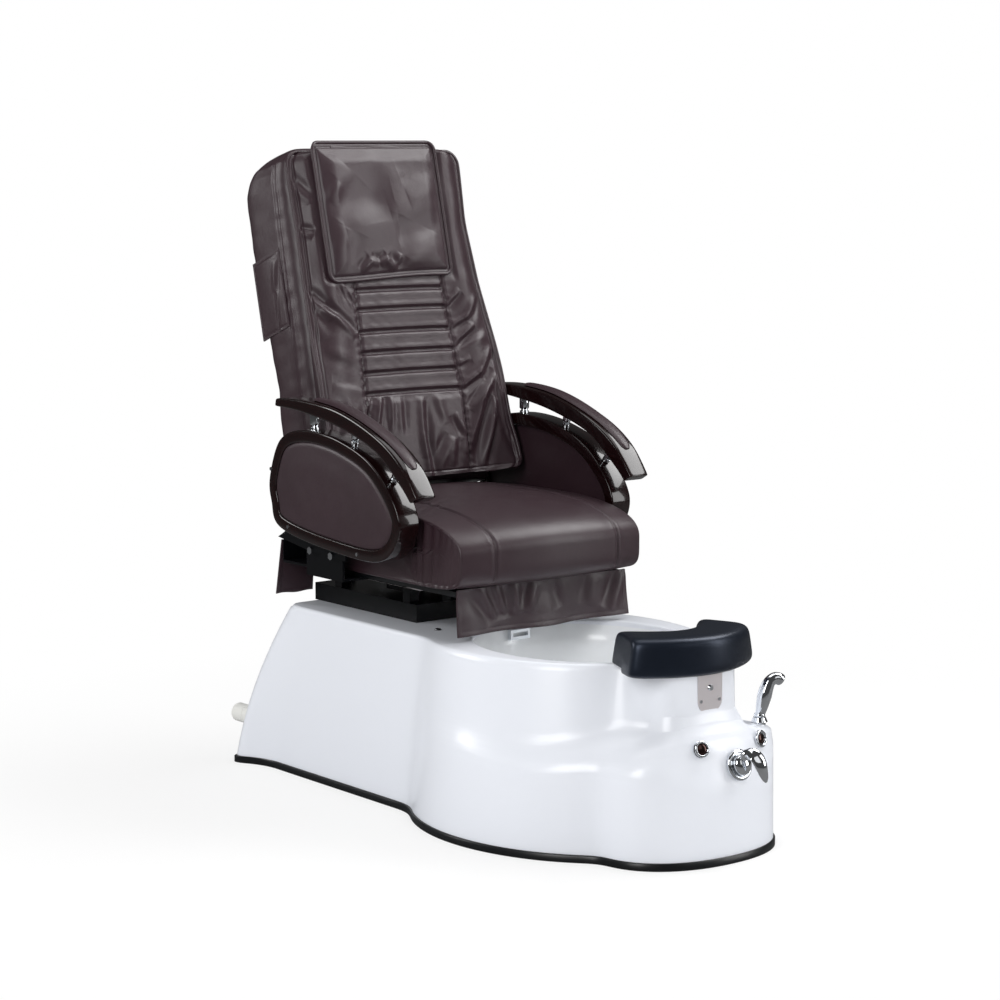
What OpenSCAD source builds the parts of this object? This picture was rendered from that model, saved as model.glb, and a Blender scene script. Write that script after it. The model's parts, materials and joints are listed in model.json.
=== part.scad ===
/* [Base] */
// Height of the deck and tub rim above the floor
deck_h = 390; // [340:5:470]
// Wall of the moulded shell and basin
shell_wall = 5; // [4:0.5:7]
// Half width of the plinth at the floor
plinth_half = 268; // [255:1:300]
// Half width of the plinth at the deck
deck_half = 253; // [240:1:270]
// How far each rear corner flares out at the floor
flare = 54; // [20:1:70]
// Distance of the rear face behind the origin at the floor
rear_floor = 636; // [600:1:700]
// Distance of the rear deck edge behind the origin
rear_deck = 490; // [470:1:520]
// Height of the kick strip
kick_h = 16; // [12:1:25]
// How far the kick strip stands proud of the shell
kick_proud = 4; // [2:0.5:6]

/* [Foot tub] */
// Half width of the tub skirt at the floor
skirt_half = 349; // [330:1:370]
// Half length of the tub skirt at the floor
skirt_len = 395; // [380:1:410]
// Half width of the tub at the rim
rim_half = 289; // [275:1:300]
// Half length of the tub at the rim
rim_len = 345; // [335:1:355]
// Half width of the basin mouth
mouth_half = 227; // [200:1:235]
// Length of the basin mouth in front of the drain
mouth_front = 264; // [240:1:275]
// Length of the basin mouth behind the drain
mouth_rear = 250; // [230:1:255]
// Height of the basin floor above the ground
basin_floor = 98; // [90:1:120]
// Distance of the console front from the origin at the floor
console_front = 740; // [720:1:760]
// Distance of the upper nose front from the origin
nose_front = 668; // [660:1:690]
// Half width of the upper nose
nose_half = 105; // [95:1:115]

/* [Footrest] */
// Half width of the footrest pad at its front
pad_half = 172; // [158:1:180]
// Height of the footrest pad
pad_h = 69; // [55:1:80]
// Depth of the footrest pad
pad_d = 124; // [108:1:130]
// Radius of the two lifting posts
pad_post_r = 9; // [7:0.5:11]

/* [Pedestal] */
// Height of the pedestal box
box_h = 40; // [30:1:60]
// Half width of the pedestal box
box_half = 165; // [150:1:180]
// Height of the posts on the box
post_h = 32; // [28:1:45]
// Height of the slide rails
rail_h = 12; // [10:1:16]
// Width of the slide rails
rail_w = 16; // [12:1:20]

/* [Seat] */
// Half width of the seat cushion
seat_half = 254; // [235:1:310]
// Depth of the seat cushion
seat_d = 541; // [500:1:560]
// Thickness of the seat cushion at its edge
seat_t = 152; // [130:1:185]
// Height of the crown along the middle of the seat
seat_crown = 9; // [4:1:14]
// Drop of the front apron below the cushion
apron_h = 96; // [80:1:100]

/* [Arms] */
// Gap between the seat cushion and the side panels
arm_gap = 16; // [14:1:24]
// Width of the side panels and arm bars
arm_w = 55; // [45:1:65]
// Width of the lacquered band round each side panel
ring_w = 27; // [22:1:32]
// Radius of the chrome posts
arm_post_r = 9; // [6:0.5:11]
// Width of the leather pad on each arm bar
arm_pad_w = 37; // [30:1:42]

/* [Backrest] */
// Length of the backrest along its slope
back_len = 783; // [700:1:940]
// Lean of the backrest from upright, in degrees
back_lean = 13.5; // [10:0.5:16]
// Depth of the backrest
back_d = 250; // [235:1:262]
// Thickness of the massage cover
cover_t = 34; // [28:1:36]
// Radius of the recline pivot shaft
pivot_r = 8; // [6:0.5:10]
// Radius of the massage rollers
roller_r = 27; // [22:1:30]

/* [Hidden] */
$fn = 48;
run = 0.05;      // radial clearance of a turning or sliding fit
seat_gap = 0.3;  // clearance of a soft or loose neighbour
leather = "#3d2f35";
lacquer = "#1c0f12";
gel_white = "#e8ecf4";
chrome_c = "#c8ccd2";
steel_c = "#9a9da2";
black_c = "#15161a";

// ---------- small helpers ----------
function smooth(t) = let (c = min(max(t, 0), 1)) c * c * (3 - 2 * c);
function mix(a, b, t) = a + (b - a) * t;
function unit(v) = v / norm(v);
// superellipse factor: the other coordinate when one is at the fraction t
function bulge(t, n) = pow(max(0, 1 - pow(min(abs(t), 1), n)), 1 / n);
function spow(t, n) = sign(t) * pow(abs(t), n);

// Catmull-Rom curve through points, closed or open
function spline_at(p, i, t, closed) =
  let (
    n = len(p),
    ix = function(k) closed ? (k + n) % n : min(max(k, 0), n - 1),
    a = p[ix(i - 1)], b = p[ix(i)], c = p[ix(i + 1)], d = p[ix(i + 2)]
  )
  0.5 * (2 * b + (c - a) * t + (2 * a - 5 * b + 4 * c - d) * t * t
    + (3 * b - a - 3 * c + d) * t * t * t);
function spline(p, steps, closed) = [
  for (i = [0 : len(p) - (closed ? 1 : 2)], k = [0 : steps - 1]) spline_at(p, i, k / steps, closed),
  if (!closed) p[len(p) - 1]
];
// each point of a closed outline moved inward by d
function inset(p, d) = let (n = len(p)) [
  for (i = [0 : n - 1])
    let (t = unit(p[(i + 1) % n] - p[(i + n - 1) % n])) p[i] + d * [-t[1], t[0]]
];

// solid between rings of points; each ring runs the same way round
module ring_solid(rings, closed = false) {
  m = len(rings);
  n = len(rings[0]);
  pts = [for (r = rings, p = r) p];
  mids = closed ? [] : [for (r = [rings[0], rings[m - 1]]) [for (q = r) 1 / n] * r];
  last = m - (closed ? 1 : 2);
  walls = [
    for (j = [0 : last], i = [0 : n - 1])
      let (a = j * n + i, b = j * n + (i + 1) % n, c = ((j + 1) % m) * n + (i + 1) % n,
           d = ((j + 1) % m) * n + i)
        each [[a, d, c], [a, c, b]]
  ];
  caps = closed ? [] : [
    for (i = [0 : n - 1]) let (k = (i + 1) % n)
      each [[i, k, m * n], [(m - 1) * n + k, (m - 1) * n + i, m * n + 1]]
  ];
  polyhedron(concat(pts, mids), concat(walls, caps), convexity = 8);
}

// solid between a front grid and a back grid, both functions of u and v from 0 to 1
module slab(front, back, nu, nv) {
  w = nu + 1;
  s = w * (nv + 1);
  pts = [for (f = [front, back], j = [0 : nv], i = [0 : nu]) f(i / nu, j / nv)];
  faces = [
    for (j = [0 : nv - 1], i = [0 : nu - 1])
      let (a = j * w + i, b = a + 1, c = a + w + 1, d = a + w)
        each [[a, d, c], [a, c, b], [s + a, s + c, s + d], [s + a, s + b, s + c]],
    for (i = [0 : nu - 1]) let (a = i, b = i + 1, c = nv * w + i, d = c + 1)
      each [[a, b, s + b], [a, s + b, s + a], [d, c, s + c], [d, s + c, s + d]],
    for (j = [0 : nv - 1]) let (a = j * w, b = a + w, c = a + nu, d = c + w)
      each [[b, a, s + a], [b, s + a, s + b], [c, d, s + d], [c, s + d, s + c]]
  ];
  polyhedron(pts, faces, convexity = 8);
}

// bar of round section from a to b
module rod(a, b, r) {
  v = b - a;
  translate(a) rotate([0, acos(v[2] / norm(v)), atan2(v[1], v[0])]) cylinder(r = r, h = norm(v));
}
// chain of rods with socket elbows at the bends
module pipe_run(p, r) {
  for (i = [0 : len(p) - 2]) rod(p[i], p[i + 1], r);
  for (i = [1 : 1 : len(p) - 2]) translate(p[i]) sphere(r = r + 2);
}
// tube along a smooth curve; each point is x, y, z and the radius there
module tube(points, sides = 10) {
  p = spline(points, 4, false);
  m = len(p) - 1;
  at = function(i) [p[i][0], p[i][1], p[i][2]];
  ring_solid([for (i = [0 : m])
    let (
      t = unit(at(min(i + 1, m)) - at(max(i - 1, 0))),
      a = unit(cross(t, [1, 0.3, 0.1])),
      b = cross(t, a)
    )
    [for (k = [0 : sides - 1]) at(i) + p[i][3] * (cos(360 * k / sides) * a + sin(360 * k / sides) * b)]
  ]);
}
// flexible hose of one radius
module hose(points, r) { tube([for (p = points) [p[0], p[1], p[2], r]]); }
module box(lo, hi) { translate(lo) cube(hi - lo); }
module both_sides() {
  children();
  mirror([1, 0, 0]) children();
}

// ---------- base outline ----------
skirt_y = -262;      // middle of the skirt ellipse
rim_y = -210;        // middle of the rim ellipse
drain_y = -270;      // drain and middle of the basin
console_half = 212;  // where the console lobe leaves the skirt
flare_start = 127;   // flare begins this far in front of the rear face
deck_corner = 70;    // same at the deck
n_nose = 8;
n_tub = 11;
n_side = 5;
n_rear = 5;

// front lobe from the middle, s = 0, to where it meets the tub, s = 1
function lobe(s, half, join_y, front, n) =
  [half * spow(sin(90 * s), 2 / n), join_y - (front + join_y) * spow(cos(90 * s), 2 / n)];
function tub_join(half, a, b, y) = y - b * sqrt(1 - pow(half / a, 2));
skirt_join = tub_join(console_half, skirt_half, skirt_len, skirt_y);
rim_join = tub_join(nose_half, rim_half, rim_len, rim_y);
function tub_arc(s, half, a, b, y, w) =
  let (t0 = asin(half / a), t1 = 180 - asin(w / a), t = mix(t0, t1, s)) [a * sin(t), y - b * cos(t)];
skirt_end = tub_arc(1, console_half, skirt_half, skirt_len, skirt_y, plinth_half);
rim_end = tub_arc(1, nose_half, rim_half, rim_len, rim_y, deck_half);

// half outlines from the front middle to the rear middle; q counts 0 nose, 1 tub, 2 side, 3 rear
function lower_pt(q) =
  q <= 1 ? lobe(q, console_half, skirt_join, console_front, 2.25)
  : q <= 2 ? tub_arc(q - 1, console_half, skirt_half, skirt_len, skirt_y, plinth_half)
  : q <= 3 ? let (s = q - 2, y = mix(skirt_end[1], rear_floor, s),
      f = max(0, (y - rear_floor + flare_start) / flare_start)) [plinth_half + flare * f * f, y]
  : let (s = q - 3) [(plinth_half + flare) * (1 - s), rear_floor + 8 * sin(90 * s)];
function upper_pt(q) =
  q <= 1 ? lobe(q, nose_half, rim_join, nose_front, 4)
  : q <= 2 ? tub_arc(q - 1, nose_half, rim_half, rim_len, rim_y, deck_half)
  : q <= 3 ? let (s = q - 2, y = mix(rim_end[1], rear_deck, s),
      f = max(0, (y - rear_deck + deck_corner) / deck_corner)) [deck_half - 6 * f * f, y]
  : let (s = q - 3) [(deck_half - 6) * (1 - s), rear_deck + 4 * sin(90 * s)];

// the wall bends at three knees; each row is q, then height and share of the way in at each knee
knees_tub = [
  [1, 200, 0.04, 231, 0.32, 262, 0.65], [1.25, 185, 0.075, 205, 0.25, 225, 0.52],
  [1.6, 200, 0.22, 220, 0.37, 240, 0.5],
  [2, 200, 200 / deck_h, 220, 220 / deck_h, 240, 240 / deck_h]
];
knees_left = concat([
  [0, 150, 0.03, 250, 0.42, 288, 0.97], [0.3, 160, 0.03, 252, 0.4, 285, 0.97],
  [0.45, 180, 0.03, 245, 0.4, 276, 0.96], [0.65, 195, 0.03, 238, 0.42, 266, 0.95],
  [0.8, 200, 0.03, 235, 0.42, 262, 0.95]
], knees_tub);
// the right side has a flat ledge for the hand shower
knees_right = concat([
  [0, 150, 0.03, 250, 0.42, 288, 0.97], [0.3, 165, 0.03, 252, 0.36, 282, 0.97],
  [0.45, 190, 0.03, 250, 0.18, 266, 0.96], [0.65, 215, 0.03, 248, 0.08, 258, 0.95],
  [0.8, 220, 0.03, 248, 0.1, 256, 0.95]
], knees_tub);
function knee(rows, q, j) = lookup(q, [for (r = rows) [r[0], r[j]]]);
// share of the way from the lower to the upper outline at height z
function rise(q, z, side) =
  let (h = z / deck_h)
  q > 3 ? pow(h, 1.9)
  : q > 2 ? mix(h, pow(h, 1.9), smooth((q - 2.55) / 0.45))
  : let (rows = side < 0 ? knees_left : knees_right, k = [for (j = [1 : 6]) knee(rows, q, j)])
    lookup(z, [[0, 0], [k[0], k[1]], [k[2], k[3]], [k[4], k[5]], [deck_h, 1]]);
function shell_pt(q, z, side) =
  let (a = lower_pt(q), b = upper_pt(q), k = rise(q, z, side))
    [mix(a[0], b[0], q > 2 ? z / deck_h : k), mix(a[1], b[1], k), z];
// outward normal of the shell at q and z, as if on the +X side
function shell_normal(q, z, side) = unit(cross(
  shell_pt(q + 0.01, z, side) - shell_pt(q - 0.01, z, side),
  shell_pt(q, z + 1, side) - shell_pt(q, z - 1, side)
));
function mirror_x(p, side) = [side * p[0], p[1], p[2]];

steps = concat(
  [for (i = [0 : n_nose - 1]) i / n_nose], [for (i = [0 : n_tub - 1]) 1 + i / n_tub],
  [for (i = [0 : n_side - 1]) 2 + i / n_side], [for (i = [0 : n_rear]) 3 + i / n_rear]
);
// closed ring at height z, moved toward the long axis by d
function toward_axis(p, d) = let (s = [0, min(max(p[1], -430), 380)]) p - d * unit(p - s);
function shell_ring(z, d, z_shape) = let (n = len(steps)) [
  for (i = concat([for (k = [0 : n - 1]) k + 1], [for (k = [n - 2 : -1 : 1]) -(k + 1)]))
    let (p = shell_pt(steps[abs(i) - 1], z_shape, sign(i)), t = toward_axis([p[0], p[1]], d))
      [sign(i) * t[0], t[1], z]
];
// basin outline in the direction of each shell point, moved outward by d
function mouth_ring(z, d) = [
  for (p = shell_ring(deck_h, 0, deck_h))
    let (v = unit([p[0], p[1] - drain_y]),
         len_y = v[1] < 0 ? mouth_front : mouth_rear,
         r = 1 / sqrt(pow(v[0] / mouth_half, 2) + pow(v[1] / len_y, 2)) + d)
      [v[0] * r, drain_y + v[1] * r, z]
];
function drain_ring(z, r) = [
  for (p = shell_ring(deck_h, 0, deck_h))
    let (v = unit([p[0], p[1] - drain_y])) [v[0] * r, drain_y + v[1] * r, z]
];

// ---------- fittings on the console ----------
knob_q = 0.18;
knob_z = 238;
button_q = 0.35;
button_z = 235;
mixer_q = 0.06;
mixer_z = 196;
knob_p = mirror_x(shell_pt(knob_q, knob_z, -1), -1);
knob_n = mirror_x(shell_normal(knob_q, knob_z, -1), -1);
button_p = shell_pt(button_q, button_z, 1);
button_n = shell_normal(button_q, button_z, 1);
mixer_p = shell_pt(mixer_q, mixer_z, 1);
mixer_n = shell_normal(mixer_q, mixer_z, 1);
knob_shaft_r = 5;
knob_bush_r = 12;
button_r = 10;
bezel_r = 14;
mixer_valve_r = 24;
stem_r = 8;
collar_r = 13;
shower_p = [168, -640, 0];
ledge_z = 252.5;
module on_face(p, n) { translate(p) rotate([0, acos(n[2]), atan2(n[1], n[0])]) children(); }

// ---------- heights that follow from the sizes above ----------
box_top = deck_h + box_h;
rail_z = box_top + post_h;
rail_top = rail_z + rail_h;
runner_t = 6;
frame_z = rail_top + seat_gap + runner_t;
frame_t = 6;
board_t = 12;
cushion_z = frame_z + frame_t + board_t + seat_gap;
rail_x = 150;
rail_y0 = 100;
rail_y1 = 490;
seat_front = -166;
seat_rear = seat_front + seat_d;
arm_in = seat_half + arm_gap;
arm_mid = arm_in + arm_w / 2;
pivot_y = seat_rear + 30;
pivot_z = cushion_z + 101;
// backrest frame of reference: z up the slope, y to the rear, at the foot of the cover
back_y = pivot_y - 118.5;
back_z = pivot_z + 80;
back_half = arm_in - 30;
// the pivot in the backrest's own frame
pivot_ly = 118.5 * cos(back_lean) + 80 * sin(back_lean);
pivot_lz = 118.5 * sin(back_lean) - 80 * cos(back_lean);
module on_back() { translate([0, back_y, back_z]) rotate([-back_lean, 0, 0]) children(); }

// ---------- base ----------
shell_levels = [70, 120, 150, 175, 200, 225, 238, 248, 257, 268, 288, 310];
edge_r = 8;
jet_places = [[1, -150], [1, -390], [-1, -150], [-1, -390]];
jet_z = 230;
post_x = 70;
post_y = -608;
sleeve_r = 13;
stub_x = -262;
stub_z = 105;
stub_r = 22;
stub_y = rear_floor - 32;
stub_in = 38;
stub_out = 40;
drain_r = 15;

module base_shell() {
  color(gel_white) difference() {
    ring_solid(concat(
      [shell_ring(kick_h, 0, kick_h)],
      [for (z = shell_levels) shell_ring(z, 0, z)],
      [shell_ring(deck_h - edge_r, 0, deck_h), shell_ring(deck_h - edge_r * 0.3, edge_r * 0.3, deck_h)],
      [shell_ring(deck_h, edge_r, deck_h), mouth_ring(deck_h, shell_wall + seat_gap)],
      [mouth_ring(deck_h - shell_wall, shell_wall + seat_gap)],
      [shell_ring(deck_h - shell_wall, edge_r + shell_wall, deck_h)],
      [for (z = [310, 262, 215, 170, kick_h]) shell_ring(z, shell_wall + 1, z)]
    ), closed = true);
    both_sides() translate([post_x, post_y, deck_h - 50]) cylinder(r = sleeve_r, h = 100);
    on_face(knob_p, knob_n) translate([0, 0, -40]) cylinder(r = knob_bush_r, h = 80);
    on_face(button_p, button_n) translate([0, 0, -40]) cylinder(r = bezel_r, h = 80);
    on_face(mixer_p, mixer_n) translate([0, 0, -40]) cylinder(r = mixer_valve_r, h = 80);
    translate([shower_p[0], shower_p[1], 150]) cylinder(r = collar_r, h = 150);
    translate([stub_x, stub_y - 4, stub_z]) rotate([-90, 0, 0]) cylinder(r = stub_r - 1, h = 120);
    inlet_shape();
    plate_shape();
    base_screws();
  }
}
module kick_strip() {
  color(black_c) difference() {
    linear_extrude(kick_h) polygon([for (p = shell_ring(0, -kick_proud, 0)) [p[0], p[1]]]);
    translate([0, 0, -1]) linear_extrude(kick_h + 2) polygon([for (p = shell_ring(0, 9, 0)) [p[0], p[1]]]);
  }
}
module basin() {
  difference() {
    basin_wall();
    jet_shapes();
    suction_shape();
    spout_shape();
  }
}
lip_t = 4;
lip_w = 4;
// walls from the rim down, as heights and insets, with a lip under the shell's edge
module basin_wall() {
  w = shell_wall;
  under = deck_h - w - 0.2;
  inner = [[deck_h, 0], [deck_h - 8, 4], [deck_h - 70, 10], [mix(basin_floor, deck_h, 0.34), 18],
    [basin_floor + 40, 30], [basin_floor + 18, 48], [basin_floor + 6, 80]];
  color("#dfe4ea") ring_solid(concat(
    [drain_ring(basin_floor - w, 26)],
    [for (i = [6 : -1 : 2]) mouth_ring(inner[i][0] - (i > 4 ? w : 0), w - inner[i][1])],
    [for (r = [[under - lip_t, w], [under - lip_t, w + lip_w], [under, w + lip_w], [under, w]])
      mouth_ring(r[0], r[1])],
    [mouth_ring(deck_h, w)],
    [for (p = inner) mouth_ring(p[0], -p[1])],
    [drain_ring(basin_floor, 26)]
  ), closed = true);
}
frame_x = 150;
frame_y = [130, 460];
tube_w = 30;
bar_top_z = 35;
foot_h = 20;
frame_front = -520;
module base_frame() {
  in = frame_x - tube_w / 2;
  out = frame_x + tube_w / 2;
  under = deck_h - shell_wall;
  color(steel_c) {
    both_sides() {
      box([in, frame_front, foot_h], [out, 520, foot_h + tube_w]);
      box([in, 60, under - tube_w], [out, 475, under]);
      for (y = frame_y) box([in, y, foot_h + tube_w], [out, y + tube_w, under - tube_w]);
    }
    for (y = concat(frame_y, -tube_w / 2)) box([-in, y, foot_h], [in, y + tube_w, bar_top_z]);
    box([-in, frame_front, foot_h], [in, frame_front + tube_w, foot_h + tube_w]);
    box([-44, frame_y[0] + tube_w, bar_top_z - 6], [30, frame_y[1], bar_top_z]);
  }
}
module levelling_feet() {
  ends = [for (x = [-frame_x, frame_x], y = [-505, 40, 495]) [x, y, 0]];
  color(black_c) for (p = concat(ends, [[0, 0, 0]])) translate(p) {
    cylinder(r = 20, h = 8);
    cylinder(r = 6, h = foot_h);
  }
}
jet_len = 44;
function jet_x(y) =
  let (v = y - drain_y) mouth_half * sqrt(1 - pow(v / (v < 0 ? mouth_front : mouth_rear), 2)) - 22;
module on_jet(j) { translate([j[0] * jet_x(j[1]), j[1], jet_z]) rotate([0, j[0] * 90, 0]) children(); }
module jet_shapes() {
  for (j = jet_places) on_jet(j) {
    cylinder(r = 20, h = 8);
    cylinder(r = 13, h = jet_len);
  }
}
module wall_jets() {
  color("#2c3036") difference() {
    jet_shapes();
    for (j = jet_places) on_jet(j) translate([0, 0, -1]) cylinder(r = 6, h = 30);
  }
}
suction_p = [0, drain_y + mouth_rear - 36, 165];
module suction_shape() {
  translate(suction_p) rotate([-90, 0, 0]) {
    cylinder(r = 34, h = 10);
    cylinder(r = 20, h = 44);
  }
}
module suction_cover() {
  color("#2c3036") difference() {
    suction_shape();
    translate(suction_p) rotate([-90, 0, 0])
      for (a = [0 : 45 : 315]) rotate([0, 0, a]) translate([12, 0, -1]) cylinder(r = 3, h = 60);
  }
}
spout_y = drain_y + mouth_rear;
module spout_shape() {
  box([-12, spout_y - 18, deck_h - 36], [42, spout_y - 6, deck_h - 14]);
  box([-6, spout_y - 6, deck_h - 34], [36, spout_y + 30, deck_h - 18]);
}
module waterfall_spout() {
  color(chrome_c) difference() {
    spout_shape();
    box([-6, spout_y - 20, deck_h - 29], [36, spout_y + 10, deck_h - 20]);
  }
}
stopper_r = 5;
module drain_flange() {
  color(steel_c) translate([0, drain_y, 0]) difference() {
    union() {
      translate([0, 0, basin_floor + 4]) cylinder(r = 34, h = 3);
      translate([0, 0, basin_floor - 30]) cylinder(r = 23, h = 34);
    }
    translate([0, 0, basin_floor - 18]) cylinder(r = 19, h = 40);
    translate([0, 0, basin_floor - 40]) cylinder(r = stopper_r + run, h = 40);
    for (a = [0 : 90 : 270]) rotate([0, 0, a]) translate([12, 0, basin_floor - 40]) cylinder(r = 4, h = 40);
  }
}
module drain_stopper() {
  color(chrome_c) translate([0, drain_y, 0]) {
    translate([0, 0, basin_floor + 7 + seat_gap]) cylinder(r = 22, h = 4);
    translate([0, 0, basin_floor - 34]) cylinder(r = stopper_r, h = 42);
  }
}
module drain_pipe() {
  z = 52;
  path = [[0, drain_y, z], [0, 20, z], [-110, 90, z], [-110, 545, z], [-234, 562, z + 24],
    [stub_x + 4, stub_y + 2, stub_z]];
  color("white") {
    difference() {
      union() {
        pipe_run(path, drain_r);
        rod(path[0], path[0] + [0, 0, basin_floor - 30 - z], 27);
      }
      pipe_run(path, drain_r - 4);
      rod(path[0], path[0] + [0, 0, basin_floor - 30 - z], 20);
      translate([stub_x, stub_y, stub_z]) rotate([-90, 0, 0]) cylinder(r = stub_r - 1, h = stub_in);
    }
    translate([stub_x, stub_y, stub_z]) rotate([-90, 0, 0]) difference() {
      union() {
        cylinder(r = stub_r - 1, h = stub_in);
        translate([0, 0, stub_in]) cylinder(r = stub_r, h = stub_out);
      }
      translate([0, 0, -1]) cylinder(r = stub_r - 4, h = stub_in + stub_out + 2);
    }
  }
}
pump_p = [-30, 250, 118];
impeller_r = 44;
module pump_housing() {
  color("#24282e") translate(pump_p) rotate([0, 90, 0]) difference() {
    union() {
      translate([0, 0, -14]) cylinder(r = 60, h = 64);
      translate([0, 0, -50]) cylinder(r = 22, h = 40);
      translate([-95, 36, 20]) rotate([0, 90, 0]) cylinder(r = 20, h = 70);
      box([30, -50, -4], [pump_p[2] - 35, 50, 40]);
    }
    cylinder(r = impeller_r + 4, h = 36);
    translate([0, 0, -60]) cylinder(r = 16, h = 62);
    cylinder(r = 6 + run, h = 60);
  }
}
module pump_impeller() {
  color(black_c) translate(pump_p) rotate([0, 90, 0]) {
    translate([0, 0, 8]) cylinder(r = impeller_r, h = 5);
    for (a = [0 : 60 : 300]) rotate([0, 0, a]) translate([8, -2, 12]) cube([impeller_r - 10, 4, 14]);
    translate([0, 0, 4]) cylinder(r = 12, h = 24);
    translate([0, 0, 26]) cylinder(r = 6, h = 34);
  }
}
module pump_motor() {
  color("#3a4048") translate(pump_p + [50, 0, 0]) rotate([0, 90, 0]) difference() {
    union() {
      cylinder(r = 48, h = 112);
      for (a = [0 : 30 : 330]) rotate([0, 0, a]) translate([46, -2, 6]) cube([8, 4, 96]);
    }
    translate([0, 0, -1]) cylinder(r = 6 + 1, h = 30);
  }
}
module jet_pipes() {
  top = pump_p + [20, 36, 95];
  fork = [0, 60, top[2] + 40];
  side_y = [jet_places[0][1], jet_places[1][1]];
  side_x = jet_x(side_y[0]) + jet_len + 9;
  inlet = pump_p - [50, 0, 0];
  from = suction_p + [0, 44, 0];
  color("white") difference() {
    union() {
      pipe_run([top, top + [0, 0, 40], fork], 13);
      both_sides() pipe_run([
        fork, [side_x - 9, 30, jet_z + 12], [side_x, side_y[0], jet_z], [side_x, side_y[1], jet_z]
      ], 11);
      hose([
        from, from + [0, 17, 0], from + [0, 34, 0], [-60, 90, 140], [-108, 160, inlet[2] + 1],
        inlet - [38, 35, 0], inlet - [28, 5, 0], inlet - [14, 0, 0], inlet
      ], 16);
    }
    jet_shapes();
  }
}
module control_box() {
  color("#1e2126") {
    box([-128, 330, 250], [-30, 455, 330]);
    box([-135, 340, 330], [-120, 350, deck_h - shell_wall]);
    box([-135, 430, 330], [-120, 440, deck_h - shell_wall]);
    box([-135, 340, 250], [-128, 440, 330]);
  }
}
inlet_y = mix(rear_floor, rear_deck, rise(4, 70, 1)) + 8;
module inlet_shape() {
  box([196, inlet_y - 34, 56], [232, inlet_y + 2, 84]);
  box([190, inlet_y - 4, 50], [238, inlet_y + 4, 90]);
}
module mains_inlet() {
  color(black_c) difference() {
    inlet_shape();
    box([202, inlet_y - 20, 62], [226, inlet_y + 20, 78]);
    for (x = [208, 220], z = [66, 74]) box([x - 1, inlet_y - 30, z - 1], [x + 1, inlet_y - 19, z + 1]);
  }
}

// ---------- console fittings ----------
module mixer_body() {
  color(chrome_c) on_face(mixer_p, mixer_n) difference() {
    union() {
      translate([0, 0, -45]) cylinder(r = mixer_valve_r, h = 46);
      cylinder(r = 31, h = 4);
      rotate_extrude() translate([27, 4]) circle(r = 4, $fn = 24);
      cylinder(r1 = 24, r2 = 20, h = 15);
    }
    translate([0, 0, -5]) cylinder(r = 6 + run, h = 30);
  }
}
lever_turn = 22;   // lever points down and a little to the +X side
cap_z = 15 + seat_gap;
hinge_z = cap_z + 10;
module mixer_cap() {
  color(chrome_c) on_face(mixer_p, mixer_n) rotate([0, 0, lever_turn]) {
    difference() {
      union() {
        translate([0, 0, cap_z]) cylinder(r = 19, h = 9);
        translate([0, 0, cap_z + 9]) cylinder(r1 = 19, r2 = 12, h = 7);
        translate([0, 0, -3]) cylinder(r = 6, h = cap_z + 4);
      }
      box([-9, -5.4, cap_z + 2], [30, 5.4, cap_z + 30]);
    }
    translate([0, -12, hinge_z]) rotate([-90, 0, 0]) cylinder(r = 2.5, h = 24);
  }
}
module mixer_lever() {
  top = [[0, 6], [14, 15], [34, 17], [54, 7], [70, -14]];
  low = [[66, -16], [48, -1], [32, 7], [14, 4], [0, -6]];
  color(chrome_c) on_face(mixer_p, mixer_n) rotate([0, 0, lever_turn]) translate([0, 0, hinge_z])
    difference() {
      union() {
        rotate([90, 0, 0]) translate([0, 0, -5]) linear_extrude(10)
          polygon(concat(spline(top, 5, false), spline(low, 5, false)));
        translate([44, 0, 6]) rotate([0, 32, 0]) translate([0, 0, -4]) cylinder(r = 12, h = 7);
        rotate([-90, 0, 0]) translate([0, 0, -5]) cylinder(r = 6, h = 10);
      }
      rotate([-90, 0, 0]) translate([0, 0, -20]) cylinder(r = 2.5 + run, h = 40);
    }
}
mixer_back = mixer_p - 45.2 * mixer_n;
module water_hoses() {
  x = 180;
  last = rear_floor - 66;
  side = mixer_p - 30 * mixer_n + [25, 0, 0];
  stem = [shower_p[0], shower_p[1], 0];
  color("#b9bdc3") {
    for (k = [0, 1]) {
      z = 75 + 20 * k;
      start = mixer_back + (k * 18 - 9) * unit([-mixer_n[1], mixer_n[0], 0]);
      hose([start, start - 8 * mixer_n, start - 20 * mixer_n, [70 + 10 * k, -600, z + 10], [130, -430, z],
        [x - 6, -200, z], [x, 60, z], [x, 320, z], [x, last, z]], 6);
    }
    hose([stem + [0, 0, 199.7], stem + [0, 0, 190], stem + [0, 0, 178], [150, -636, 145],
      side + [38, 34, -26], side + [16, 0, 0], side + [7, 0, 0], side], 6);
  }
}
module drain_knob_bush() {
  color(chrome_c) on_face(knob_p, knob_n) difference() {
    union() {
      translate([0, 0, -32]) cylinder(r = knob_bush_r, h = 33);
      cylinder(r = 17, h = 4);
    }
    translate([0, 0, -40]) cylinder(r = knob_shaft_r + run, h = 60);
  }
}
module drain_knob() {
  color(chrome_c) on_face(knob_p, knob_n) {
    translate([0, 0, -38]) cylinder(r = knob_shaft_r, h = 48);
    translate([0, 0, 4 + seat_gap]) cylinder(r = 15, h = 7);
    translate([0, 0, 11 + seat_gap]) cylinder(r1 = 15, r2 = 9, h = 5);
    translate([-3, -14, 10]) cube([6, 28, 8]);
  }
}
module jet_button_bezel() {
  color(chrome_c) on_face(button_p, button_n) difference() {
    union() {
      translate([0, 0, -28]) cylinder(r = bezel_r, h = 30);
      translate([0, 0, 1.4]) cylinder(r = 18, h = 2.6);
      rotate_extrude() translate([15, 4]) circle(r = 2.5, $fn = 24);
    }
    translate([0, 0, -25]) cylinder(r = button_r + run, h = 40);
  }
}
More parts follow.
